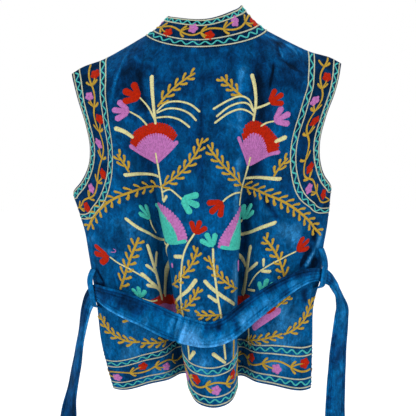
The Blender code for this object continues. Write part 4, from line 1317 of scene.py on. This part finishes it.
def cloth_wall(name, grid, normals, cloth, materials, slot, nap_and_shade):
    """A thin closed shell with its middle on the grid, a rolled edge all round and a nap with painted
    shade.
    """
    rows, columns = grid.shape[:2]
    under = rows * columns
    number = np.arange(under).reshape(rows, columns)
    rim = np.concatenate([number[0, :-1], number[:-1, -1], number[-1, :0:-1], number[:0:-1, 0]])
    flat, turned = grid.reshape(-1, 3), normals.reshape(-1, 3)
    row, column = np.divmod(rim, columns)
    within = grid[np.clip(row, 1, rows - 2), np.clip(column, 1, columns - 2)]
    outward = unit(flat[rim] - within)
    roll = [
        flat[rim] + outward * cloth * EDGE_ROLL * reach + turned[rim] * cloth / 2 * rise
        for reach, rise in EDGE_SHAPE
    ]
    squares = lattice_faces(rows, columns)
    faces = [*squares.tolist(), *(squares[:, ::-1] + under).tolist()]
    edge = np.arange(len(rim))
    ring = [rim, *(2 * under + k * len(rim) + edge for k in range(len(roll))), rim + under]
    for a, b in zip(ring, ring[1:]):
        faces += np.stack([a, b, np.roll(b, -1), np.roll(a, -1)], -1).tolist()
    mesh = Mesh()
    mesh.add(np.concatenate([flat + turned * cloth / 2, flat - turned * cloth / 2, *roll]), faces)
    made = mesh.make(name, materials, slot)
    side = np.zeros(len(faces), dtype=int)
    side[len(squares) : 2 * len(squares)] = len(materials) - 1
    made.data.polygons.foreach_set("material_index", side)
    nap_and_shade = np.broadcast_to(nap_and_shade, (rows, columns)).reshape(-1)
    set_nap_and_shade(made, np.concatenate([nap_and_shade, nap_and_shade, *[nap_and_shade[rim]] * len(roll)]))
    return made


# --- embroidery ---


def smooth(points):
    """A smooth line through a few places, at even steps."""
    points = np.asarray(points, float)
    dense = points if len(points) == 2 else curve_through(carried_on(points))
    total = length_along(dense)[-1]
    return evenly(dense, 0, total, max(3, round(total / CORD_STEP)))


def walk(place, heading, length, bend, steps):
    """A line that sets out on a heading and turns evenly by bend degrees over its length."""
    angle = np.radians(heading + bend * (np.arange(steps) + 0.5) / steps)
    moves = np.stack([np.sin(angle), np.cos(angle)], -1) * length / steps
    return np.vstack([[place], place + np.cumsum(moves, axis=0)])


class Ground:
    """Cloth to embroider: its plan, the place of the motifs' middle line and the side they are on."""

    def __init__(self, plan, meshes, middle=0.0, side=1, drop=0.0):
        self.plan, self.meshes = plan, meshes
        self.middle, self.side, self.drop = middle, side, drop

    def stroke(self, colour, points, width, end_width=None, height=CORD_HEIGHT):
        """A raised cord along a line of places, with round ends, from one width to another."""
        line = smooth(points) * (self.side, 1) + (self.middle, self.drop)
        along = length_along(line)
        wide = mixed(width, width if end_width is None else end_width, along / along[-1])
        chain = 1 - CHAIN * (np.arange(len(line)) % 2)
        ends = np.clip(np.minimum(along, along[-1] - along) / (wide / 2), 0, 1)
        round_end = np.sqrt(np.clip(1 - (1 - ends) ** 2, LEAST_END, 1))
        run = unit(np.gradient(line, axis=0))
        beside = np.stack([run[:, 1], -run[:, 0]], -1)
        half = wide / 2 * round_end * chain
        places = line[:, None] + beside[:, None] * (half[:, None] * CORD_SIDES)[..., None]
        points, normals = self.plan.at(places)
        rise = height * np.sqrt(1 - CORD_SIDES**2) * (round_end * chain)[:, None] - CORD_SUNK
        rings = points + normals * rise[..., None]
        count, sides = rings.shape[:2]
        first = list(range(sides))
        last = [n + (count - 1) * sides for n in first]
        faces = lattice_faces(count, sides, closed=True).tolist()
        self.meshes.setdefault(colour, Mesh()).add(rings, [*faces, first, last[::-1]])

    def petal(self, colour, place, heading, size, shape, height=PETAL_HEIGHT):
        """A straight stroke that points away from a place."""
        first, last, width, end_width = (size * share for share in shape)
        way = np.array([math.sin(math.radians(heading)), math.cos(math.radians(heading))])
        self.stroke(colour, place + np.outer((first, last), way), width, end_width, height)


def fern(ground, place, heading, length, bend, leaf, gap):
    """A gold stem with club-shaped leaves, one after another on its two sides."""
    stem = walk(np.array(place, float), heading, length, bend, STEM_STEPS)
    ground.stroke("gold", stem, STEM_WIDTH)
    for k in range(int((length - gap / 2) / gap * 2)):
        at = (k + 1) * gap / 2
        share = at / length
        side = 1 if k % 2 else -1
        base = read_at(at, length_along(stem), stem)
        way = heading + bend * share + side * LEAF_ANGLE
        line = walk(base, way, leaf * mixed(*LEAF_LENGTHS, share), -side * LEAF_CURL, LEAF_STEPS)
        ground.stroke("gold", line, *(STEM_WIDTH * part for part in LEAF_WIDTHS))


def bud(ground, colour, place, heading, size):
    """Three round petals on a small cup."""
    ground.petal(colour, place, heading, size, BUD_CUP, CUP_HEIGHT)
    for turn, reach in BUD_PETALS:
        shape = (BUD_PETAL_START, reach, *BUD_PETAL_WIDTHS)
        ground.petal(colour, place, heading + turn, size, shape)


def floret(ground, colour, place):
    """Five round petals about a middle."""
    for k in range(FLORET_PETALS):
        ground.petal(colour, place, 360 / FLORET_PETALS * k + FLORET_TURN, FLORET, FLORET_PETAL)


def fan(ground, inner, outer, place, reaches, lobe):
    """Ribs from a point, laid over a scalloped rim of lobes: a carnation seen from its side."""
    heading, ribs, rim = reaches.values()
    angle = heading[0]
    while angle < heading[-1]:
        top, low = (float(np.interp(angle, heading, reach)) for reach in (rim, ribs))
        turn = math.degrees(lobe / top)
        if top - low > RIM_LEAST:
            shape = (low * RIM_START, top, *(lobe * part for part in LOBE_WIDTHS))
            ground.petal(outer, place, angle + turn / 2, 1, shape, RIM_HEIGHT)
        angle += turn
    steps = round((heading[-1] - heading[0]) / RIB_TURN)
    edges = np.linspace(heading[0], heading[-1], steps + 1)
    for low, high in zip(edges, edges[1:]):
        angle = (low + high) / 2
        reach = np.interp(angle, heading, ribs)
        wide = 2 * reach * math.tan(math.radians((high - low) / 2)) * RIB_OVERLAP
        ground.petal(inner, place, angle, 1, (RIB_START, reach + 1, RIB_FOOT, wide), RIB_HEIGHT)


DRAW = {"fern": fern, "bud": bud, "fan": fan}


def spray(ground, rows):
    """One half of the back's spray."""
    for kind, *row in rows:
        if kind in DRAW:
            DRAW[kind](ground, *row)
        else:
            width, end_width, *points = row
            ground.stroke(kind, points, width, end_width)


def border(ground, length, lines, zigzags, course, peaks, grow, florets):
    """A trimmed border: lines, a zigzag between each pair and a flowering vine in the middle."""
    for off in lines:
        run = np.linspace(0, length, int(length / LINE_STEP))
        wave = LINE_WAVE * np.sin(run / LINE_WAVE_LENGTH + off)
        ground.stroke("beige", np.stack([run, off + wave], -1), LINE_WIDTH)
    for off in zigzags:
        teeth = int(length / ZIGZAG_PITCH * 2)
        run = np.linspace(ZIGZAG_END, length - ZIGZAG_END, teeth + 1)
        side = np.where(np.arange(teeth + 1) % 2, 1, -1) * ZIGZAG_DEPTH
        ground.stroke("teal", np.stack([run, off + side], -1), ZIGZAG_WIDTH)
    vine(ground, length, *course, np.array(peaks, float), grow, florets)


def vine(ground, length, middle, swing, peaks, grow, florets):
    """A vine that turns at the peaks. Its leaves open the way it grows, and florets fill its bends."""
    places = carried_on(peaks)
    run = np.arange(1.0, length - 1, VINE_STEP)
    turn = math.pi * np.interp(run, places, np.arange(len(places)) - 0.5)
    ground.stroke("gold", np.stack([run, middle + swing * np.sin(turn)], -1), VINE_WIDTH)
    nodes = (places[1:] + places[:-1]) / 2
    nodes = nodes[:-1] if grow > 0 else nodes[1:]
    side = -math.copysign(1, swing)
    for k, (peak, node) in enumerate(zip(peaks, nodes)):
        colour = florets[k % len(florets)]
        place, node = np.array([peak, middle + side * FLORET_OFF]), np.array([node, middle])
        if colour and FLORET_CLEAR[0] < peak < length - FLORET_CLEAR[1]:
            bow = (node + place) / 2 + (0, side * STALK_BOW)
            ground.stroke("gold", [node, bow, place], STALK_WIDTH)
            floret(ground, colour, place)
        side = -side
        if VINE_LEAF_CLEAR < node[0] < length - VINE_LEAF_CLEAR:
            for angle in (-VINE_LEAF_ANGLE, VINE_LEAF_ANGLE):
                line = walk(node, 90 * grow + angle, VINE_LEAF, -angle * VINE_LEAF_CURL, VINE_LEAF_STEPS)
                ground.stroke("gold", line, *VINE_LEAF_WIDTHS)


# --- where the borders go ---


def band(plan, curves, depth):
    """The plan of a band of cloth whose lines at even distances from an edge are given by curves."""
    lines = [curves(off) for off in np.linspace(0, depth, BAND_ROWS + 1)]
    length = length_along(lines[BAND_ROWS // 2])[-1]
    count = round(length / ACROSS_STEP)
    places = np.stack([evenly(line, 0, length_along(line)[-1], count) for line in lines])
    return Plan(*plan.at(places), (0, 0), (length / count, depth / BAND_ROWS)), length


def clip(line, inside):
    """The stretch of a dense line that is inside, cut off exactly where it comes in and goes out."""
    dense = evenly(line, 0, length_along(line)[-1], LINE_SAMPLES)
    within = np.flatnonzero([inside(place) for place in dense])

    def crossing(out, into):
        for _ in range(HALVINGS):
            middle = (out + into) / 2
            out, into = (out, middle) if inside(middle) else (middle, into)
        return into

    first, last = within[0], within[-1]
    part = dense[first : last + 1].copy()
    if first > 0:
        part[0] = crossing(dense[first - 1], dense[first])
    if last < len(dense) - 1:
        part[-1] = crossing(dense[last + 1], dense[last])
    return part


def armhole_scale(panel, end, z):
    """How deep the armhole's border is at the heights z, on the panel's first (0) or last (-1) side."""
    return read(ARMHOLE_SCALE, "front" if panel.name != "back" else ("left", "right")[end], z)


def armhole_band(panel, side, depth):
    """The band round one armhole of a panel, from the shoulder seam to the side seam."""
    end = -1 if side > 0 else 0
    out = 1 if side > 0 else -1
    top_across, top_z = panel.along_row(0)

    def inside(place):
        low, high = panel.edges(place[1])
        return low <= place[0] <= high and place[1] < np.interp(place[0], top_across, top_z)

    z = np.linspace(panel.flat_z[0, end], UNDERARM_Z, EDGE_SAMPLES)
    edge = np.stack([panel.edges(z)[end], z], -1)
    scale = armhole_scale(panel, end, z)
    run = unit(np.gradient(edge, axis=0))
    for _ in range(EDGE_SMOOTHING):
        run[1:-1] = unit(run[:-2] + run[1:-1] + run[2:])
    inward = np.stack([run[:, 1], -run[:, 0]], -1) * out

    def curve(off):
        off = max(off, LEAST_OFF)
        line = edge + inward * (off * scale)[:, None]
        start = line[0] - run[0] * BAND_START
        first = math.atan2(inward[-1, 1], inward[-1, 0])
        if first > 0 and out > 0:
            first -= math.tau
        turn = np.linspace(first, -math.pi / 2, ARC_SAMPLES)[1:]
        arc = edge[-1] + off * scale[-1] * np.stack([np.cos(turn), np.sin(turn)], -1)
        beyond = arc[-1] + (out * BAND_BEYOND, 0.0)
        return clip(np.vstack([start, line, arc, beyond]), inside)

    return band(panel.plan, curve, depth)


def hem_band(panel, depth):
    """The band along a panel's hem, from one side edge to the other."""
    hem_at, hem_z = panel.along_row(-1)
    share = np.linspace(HEM_MARGIN, 1 - HEM_MARGIN, HEM_SAMPLES)

    def curve(off):
        across = mixed(hem_at[0], hem_at[-1], share)
        z = np.interp(across, hem_at, hem_z) + off * hem_scale(panel, share)
        return np.stack([mixed(*panel.edges(z), share), z], -1)

    return band(panel.plan, curve, depth)


def hem_scale(panel, share):
    """How deep the hem's border is along it: the back's is narrow at its left end, wide at its right."""
    if panel.name != "back":
        return np.ones_like(share)
    left = 1 - smoothstep(share / HEM_LEFT_END)
    right = smoothstep((share - HEM_RIGHT_END) / HEM_RIGHT_RISE)
    return 1 - HEM_LEFT_LESS * left + HEM_RIGHT_MORE * right


def collar_band(grid, normals):
    """The plan of the collar, along it from the left front and down from its top edge."""
    outer = grid + normals * COLLAR_CLOTH / 2
    length = length_along(outer[len(outer) // 2])[-1]
    count = round(length / ACROSS_STEP)
    points, turned = [], []
    for line, turn in zip(outer, normals):
        along = length_along(line)
        places = np.linspace(0, along[-1], count + 1)
        points.append(read_at(places, along, line))
        turned.append(read_at(places, along, turn))
    step = (length / count, COLLAR_DEPTH / COLLAR_ROWS)
    return Plan(np.stack(points), np.stack(turned), (0, 0), step), length


# --- the belt's velvet ---


def belt_relief(places, end, wide, from_edge, seam_end):
    """How far the velvet stands out at places that are a distance from the belt's join: its stitched
    grooves, wrinkles, ripples and puckers."""
    rise = np.zeros_like(from_edge)
    for row in STITCH_ROWS:
        rise -= STITCH_SINK * bell(from_edge - row, STITCH_GROOVE)
    for row in rows_of(WRINKLES):
        if row["side"] == seam_end:
            ridge = bell(end - row["place"] - row["lean"] * wide, row["spread"])
            middle, reach = (row["low"] + row["high"]) / 2, (row["high"] - row["low"]) / 2
            rise += row["lift"] * ridge * np.clip(WRINKLE_END - ((wide - middle) / reach) ** 2, 0, 1)
    for height, length, lean in BELT_RIPPLES:
        rise += height * np.sin(places / length + lean * wide)
    return rise + PUCKER * np.sin(places / PUCKER_LENGTH) * bell(from_edge - PUCKER_OFF, PUCKER_REACH)


def belt_length(name, path, first, last, seam_end, material):
    """A padded velvet tube along part of the path, topstitched along both edges and wrinkled."""
    steps = round((last - first) / BELT_SLICE)
    places = np.linspace(first, last, steps + 1)
    station = read_at(places, length_along(path[:, :3]), path)
    centre, up, width, thickness, run = np.split(station, STATION_PARTS, axis=1)
    half_width, half_thickness = width / 2, thickness / 2
    angle = np.arange(BELT_SIDES) * math.tau / BELT_SIDES
    wide, thick = (
        np.sign(way) * np.abs(way) ** power
        for way, power in zip((np.cos(angle), np.sin(angle)), BELT_POWERS)
    )
    across = half_width * wide
    places = places[:, None]
    from_seam = places - (last if seam_end > 0 else first)
    end = np.abs(from_seam)
    rise = belt_relief(places, end, wide, half_width - np.abs(across), seam_end)
    close = np.sqrt(1 - (1 - np.clip(end / SEAM_DIP, 0, 1)) ** 2 * CLOSED)
    flat = np.abs(thick) ** 0.5
    height = np.maximum(half_thickness * np.abs(thick) + rise * flat, LEAST_THICKNESS * flat) * close
    rings = (
        centre[:, None]
        + up[:, None] * (across * mixed(CLOSED_WIDTH, 1, close**CLOSED_POWER))[..., None]
        + np.cross(up, run)[:, None] * (np.sign(thick) * height)[..., None]
    )
    mesh = Mesh()
    caps = [list(range(BELT_SIDES)), [n + steps * BELT_SIDES for n in range(BELT_SIDES)][::-1]]
    mesh.add(rings, [*lattice_faces(steps + 1, BELT_SIDES, closed=True).tolist(), *caps])
    made = mesh.make(name, [material], "belt_velvet")
    # painted highlight on raised relief and shade in grooves, and painted light and shade along and across
    # the belt
    nap_and_shade = 0.5 + BELT_SHADE * rise + ridges(BELT_LIGHT_AND_SHADE, from_seam, wide)
    set_nap_and_shade(made, nap_and_shade.reshape(-1))
    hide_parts(name.replace("cloth_", ""))


def loop_strip(back, side):
    """A loop's own grid, its three points across made into more."""
    places = np.linspace(0, 2, LOOP_COLUMNS + 1)
    return np.stack([read_at(places, np.arange(3), row) for row in loop_grid(back, side)])


# --- materials ---


def feed(tree, made, **inputs):
    """Sets inputs of a shader node: a socket is linked to, anything else is a constant on its own."""
    for name, value in inputs.items():
        socket = made.inputs[name.replace("_", " ")]
        if isinstance(value, bpy.types.NodeSocket):
            tree.links.new(value, socket)
        else:
            socket.default_value = value


def new_node(tree, kind, **inputs):
    made = tree.nodes.new("ShaderNode" + kind)
    feed(tree, made, **inputs)
    return made


def new_material(name):
    material = bpy.data.materials.new(name)
    material.use_nodes = True
    return material, material.node_tree, material.node_tree.nodes["Principled BSDF"]


def noise(tree, scale, detail, distortion=0.0, stretch=(1, 1, 1)):
    """Noise over the object's own coordinates, in features per metre."""
    place = new_node(tree, "TexCoord").outputs["Object"]
    mapped = new_node(tree, "Mapping", Vector=place, Scale=stretch).outputs["Vector"]
    made = new_node(tree, "TexNoise", Vector=mapped, Scale=scale, Detail=detail, Distortion=distortion)
    return made.outputs["Fac"]


def ramp(tree, value, *stops):
    """A value turned into a colour, by stops (place, colour); a plain number is a grey."""
    made = new_node(tree, "ValToRGB", Fac=value)
    elements = made.color_ramp.elements
    while len(elements) < len(stops):
        elements.new(0.5)
    for element, (place, colour) in zip(elements, stops):
        element.position = place
        element.color = (*(colour if isinstance(colour, tuple) else (colour,) * 3), 1)
    return made.outputs["Color"]


def calculate(tree, how, a, b):
    made = tree.nodes.new("ShaderNodeMath")
    made.operation = how
    tree.links.new(a, made.inputs[0])
    if isinstance(b, float):
        made.inputs[1].default_value = b
    else:
        tree.links.new(b, made.inputs[1])
    return made.outputs["Value"]


def shaded(tree, colour, shade):
    """A colour multiplied by a shade."""
    made = tree.nodes.new("ShaderNodeMix")
    made.data_type, made.blend_type = "RGBA", "MULTIPLY"
    made.inputs["Factor"].default_value = 1.0
    for socket, value in zip((s for s in made.inputs if s.type == "RGBA"), (colour, shade)):
        tree.links.new(value, socket)
    return next(s for s in made.outputs if s.type == "RGBA")


def bump(tree, *layers):
    """Bumps, each (value, depth in metres), one on top of another."""
    made = None
    for value, depth in layers:
        below = {"Normal": made.outputs["Normal"]} if made else {}
        made = new_node(tree, "Bump", Distance=depth, Height=value, **below)
    return made.outputs["Normal"]


def velvet(name, dark, middle, light):
    """Crushed velvet: pile that lies different ways, in patches, streaks, thin lines and grain, over the
    painted light and shade that each point carries, from a painted crease shadow to a painted gleam.
    """
    material, tree, shader = new_material(name)
    nap_and_shade = tree.nodes.new("ShaderNodeAttribute")
    nap_and_shade.attribute_name = "nap_and_shade"
    patches = calculate(tree, "MULTIPLY", noise(tree, *PATCHES), PATCH_SHADE)
    patches = calculate(tree, "SUBTRACT", patches, PATCH_SHADE / 2)
    # each point's pile tone with its painted light and shade, plus random patches
    lie = calculate(tree, "ADD", nap_and_shade.outputs["Fac"], patches)
    # the ramp's darkest colour is painted crease shadow and its lightest a painted gleam
    crease = tuple(PILE_SHADOW * c for c in dark)
    gleam = tuple(PILE_GLEAM[0] * c + PILE_GLEAM[1] for c in light)
    colour = ramp(tree, lie, *zip(PILE_STOPS, (crease, dark, middle, light, gleam)))
    for pattern, low, high in PILE_SHADES:
        shade = ramp(tree, noise(tree, *pattern), *zip(SHADE_STOPS, (low, 1.0, high)))
        colour = shaded(tree, colour, shade)
    colour = shaded(tree, colour, ramp(tree, noise(tree, *THIN_LINES), *THIN_LINE_STOPS))
    normal = bump(tree, *((noise(tree, *pattern), depth) for pattern, depth in PILE_BUMPS))
    feed(tree, shader, Base_Color=colour, Normal=normal, Roughness=0.8, Specular_IOR_Level=0.03)
    feed(tree, shader, Sheen_Weight=0.18, Sheen_Roughness=0.4, Sheen_Tint=(0.05, 0.4, 0.9, 1))
    return material


def wool(name, colour):
    """Matt wool yarn in one colour, a little uneven in its dye."""
    material, tree, shader = new_material(name)
    dark = tuple(DYE_DARK * c for c in colour)
    base = ramp(tree, noise(tree, *DYE), *zip(DYE_STOPS, (dark, colour)))
    normal = bump(tree, (noise(tree, *FIBRES), FIBRE_DEPTH))
    feed(tree, shader, Base_Color=base, Normal=normal, Roughness=0.9)
    feed(tree, shader, Specular_IOR_Level=0.05, Sheen_Weight=0.05)
    return material


def plain(name, colour, roughness, dark):
    """One matt colour, down to a darker share of itself in spots."""
    material, tree, shader = new_material(name)
    spots = tuple(dark * c for c in colour)
    base = ramp(tree, noise(tree, *SPOTS), *zip(SPOT_STOPS, (spots, colour)))
    feed(tree, shader, Base_Color=base, Roughness=roughness)
    return material


# --- stage, lights and camera ---


def stage():
    half = FLOOR_SIZE / 2
    corners = [(-half, -half, 0), (half, -half, 0), (half, half, 0), (-half, half, 0)]
    mesh = bpy.data.meshes.new("floor")
    mesh.from_pydata(corners, [], [(0, 1, 2, 3)])
    floor = new_object("floor", mesh)
    floor.location.z = FLOOR_Z
    paint = plain("floor_paint", FLOOR_WHITE, roughness=0.9, dark=0.99)
    shader = paint.node_tree.nodes["Principled BSDF"]
    feed(paint.node_tree, shader, Emission_Color=(1, 1, 1, 1), Emission_Strength=FLOOR_GLOW)
    mesh.materials.append(paint)
    world = bpy.data.worlds.new("studio")
    world.use_nodes = True
    feed(world.node_tree, world.node_tree.nodes["Background"], Color=(1, 1, 1, 1), Strength=WORLD_LIGHT)
    bpy.context.scene.world = world
    bpy.context.scene.view_settings.view_transform = "Standard"


def lamp(name, place, size, power):
    light = bpy.data.lights.new(name, "AREA")
    light.shape, light.size, light.energy = "DISK", size, power
    made = new_object(name, light)
    made.location = place
    made.rotation_euler = (Vector(LIT_POINT) - Vector(place)).to_track_quat("-Z", "Y").to_euler()


def camera():
    pitch = math.radians(CAMERA_PITCH)
    data = bpy.data.cameras.new("camera")
    data.sensor_width, data.lens = SENSOR, LENS
    made = new_object("camera", data)
    ahead = Vector((0, math.cos(pitch), -math.sin(pitch)))
    made.location = Vector(CAMERA_TARGET) - ahead * CAMERA_DISTANCE
    made.rotation_euler = ahead.to_track_quat("-Z", "Y").to_euler()
    bpy.context.scene.camera = made


# --- the garment ---


def ridges(rows, x, z):
    """The sum of soft ridges and troughs that run from one place to another."""
    total = np.zeros(np.broadcast(x, z).shape)
    for row in rows_of(rows):
        run = np.array([row["to_across"] - row["across"], row["to_z"] - row["z"]])
        length = np.linalg.norm(run)
        run /= length
        x_on, z_on = x - row["across"], z - row["z"]
        ahead = (x_on * run[0] + z_on * run[1]) / length
        bow = row["bow"] * 4 * np.clip(ahead, 0, 1) * (1 - np.clip(ahead, 0, 1))
        aside = x_on * run[1] - z_on * run[0] - bow
        ends = smoothstep(ahead / RIDGE_ENDS[0]) * smoothstep((1 - ahead) / RIDGE_ENDS[1])
        total += row["lift"] * ends * bell(aside, row["spread"])
    return total


def crease(panel):
    """The hung grid with its creases pushed in or out along its normals."""
    normals = outward_normals(panel.hung)
    x, z = panel.grid_across, panel.flat_z
    one, two, three, four = RIPPLE_LENGTHS
    push = RIPPLE * np.sin(x / one + z / two) * np.sin(z / three - x / four)
    push += ridges(CREASES[panel.name], x, z)
    columns = np.arange(x.shape[1])
    side = np.minimum(columns, columns[::-1]) / FINE
    down = np.arange(x.shape[0])[:, None] / FINE
    push *= smoothstep(side / SMOOTH_EDGE) * smoothstep(down / SMOOTH_EDGE)
    panel.push = push
    return panel.hung + normals * push[..., None]


def under_border(lines, depth):
    """1 where a distance from the edge is under a border with such lines and 0 beyond it."""
    return smoothstep((lines[0][-1] + BORDER_PAST - depth) / BORDER_SOFT + 0.5)


def nap_and_shade_of(panel):
    """How light a panel's pile looks: its placed patches of pile and painted shade, painted highlight and
    shade on its creases, darker at the top and lighter at the hem, and its darker borders.
    """
    x, z = panel.grid_across, panel.flat_z
    depth = (z - z[-1]) / hem_scale(panel, np.linspace(0, 1, x.shape[1]))
    border = under_border(HEM_LINES, depth)
    for end in (0, -1) if panel.name == "back" else (0,):
        level = np.linspace(z[0, end], UNDERARM_Z, NAP_SAMPLES)
        places = zip(panel.edges(level)[end], level, armhole_scale(panel, end, level))
        away = [np.hypot(x - across, z - at) / scale for across, at, scale in places]
        border = np.maximum(border, under_border(ARMHOLE_LINES, np.min(away, axis=0)))
    fall = mixed(TOP_SHADE, HEM_LIGHT, z / z.min())
    patches = ridges(NAP_AND_SHADE_PATCHES[panel.name], x, z)
    # the creases' push paints highlight on ridges and shade in troughs
    return 0.5 + patches + CREASE_SHADE * panel.push + fall - BORDER_SHADE * border


def area_of(grid):
    """The area of a grid's squares, in square metres."""
    down, across = np.diff(grid, axis=0)[:, :-1], np.diff(grid, axis=1)[:-1]
    return float(np.linalg.norm(np.cross(down, across), axis=-1).sum()) * METRES**2


def flat_size(grid):
    """A piece's widest row and longest column, in metres."""
    across = np.linalg.norm(np.diff(grid, axis=1), axis=2).sum(axis=1).max()
    down = np.linalg.norm(np.diff(grid, axis=0), axis=2).sum(axis=0).max()
    return round(float(across) * METRES, 3), round(float(down) * METRES, 3)


def embroider(name, panel, grid, normals):
    """All the embroidery of one piece of cloth, as a mesh for each colour of yarn."""
    meshes = {}
    if name == "collar":
        plan, length = collar_band(grid, normals)
        border(Ground(plan, meshes), length, *COLLAR_BORDER)
        return meshes
    plan, length = hem_band(panel, HEM_DEPTH)
    border(Ground(plan, meshes), length, *(BACK_HEM_BORDER if name == "back" else FRONT_HEM_BORDER))
    for (piece, side), rows in ARMHOLE_BORDERS.items():
        if piece == name:
            plan, length = armhole_band(panel, side, ARMHOLE_DEPTH)
            border(Ground(plan, meshes), length, *rows)
    if name == "back":
        spray(Ground(panel.plan, meshes, SPRAY_MIDDLE, -1), LEFT_SPRAY)
        spray(Ground(panel.plan, meshes, SPRAY_MIDDLE, 1, SPRAY_DROP), RIGHT_SPRAY)
    return meshes


def main():
    camera()
    stage()
    for light in LAMPS:
        lamp(*light)

    body = velvet("body_velvet_pile", *BODY_BLUES)
    inside = plain("velvet_back", INSIDE_BLUE, roughness=0.95, dark=0.85)
    belt = velvet("belt_velvet_pile", *BELT_BLUES)
    yarns = {name: wool(f"{name}_yarn", colour) for name, colour in YARNS.items()}

    flat = {"back": back_grid(), "front_left": front_grid(-1), "front_right": front_grid(1)}
    panels = {name: Panel(name, grid) for name, grid in flat.items()}
    grids = {name: crease(panel) for name, panel in panels.items()}
    grids["collar"] = collar_grid(grids)
    normals = {name: outward_normals(grid) for name, grid in grids.items()}
    drawn = join_seams(grids, normals)
    naps_and_shades = {name: nap_and_shade_of(panel) for name, panel in panels.items()}
    naps_and_shades["collar"] = COLLAR_NAP + TOP_SHADE - BORDER_SHADE
    for name, panel in panels.items():
        panel.make_plan(drawn[name], normals[name])

    for name in ("back", "front_left", "front_right", "collar"):
        cloth, slot = (COLLAR_CLOTH, "collar_velvet") if name == "collar" else (BODY_CLOTH, "body_velvet")
        form = drawn[name], normals[name]
        piece = cloth_wall(f"cloth_{name}", *form, cloth, [body, inside], slot, naps_and_shades[name])
        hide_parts(name)
        wools = [
            mesh.make(f"{name}_{colour}_wool", [yarns[colour]], slot, WOOL_SHARP)
            for colour, mesh in embroider(name, panels.get(name), *form).items()
        ]
        width, length = flat_size(drawn[name])
        area = min(area_of(drawn[name]), width * length)

    back = panels["back"].hung, outward_normals(panels["back"].hung)
    for side, name in ((-1, "belt_loop_left"), (1, "belt_loop_right")):
        strip = loop_strip(back, side)
        form = strip, outward_normals(strip)
        piece = cloth_wall(f"cloth_{name}", *form, LOOP_CLOTH, [belt], "belt_velvet", 0.5)
        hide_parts(name)
        flat_size(strip)

    path = belt_path(back)
    along = length_along(path[:, :3])
    over_back = np.abs(path[:, 0]) < SHOULDER_TIP_X / 2
    seam = float(np.interp(BELT_SEAM_X, path[over_back, 0], along[over_back]))
    belt_length("cloth_belt_left", path, 0.0, seam, 1, belt)
    belt_length("cloth_belt_right", path, seam, float(along[-1]), -1, belt)


main()
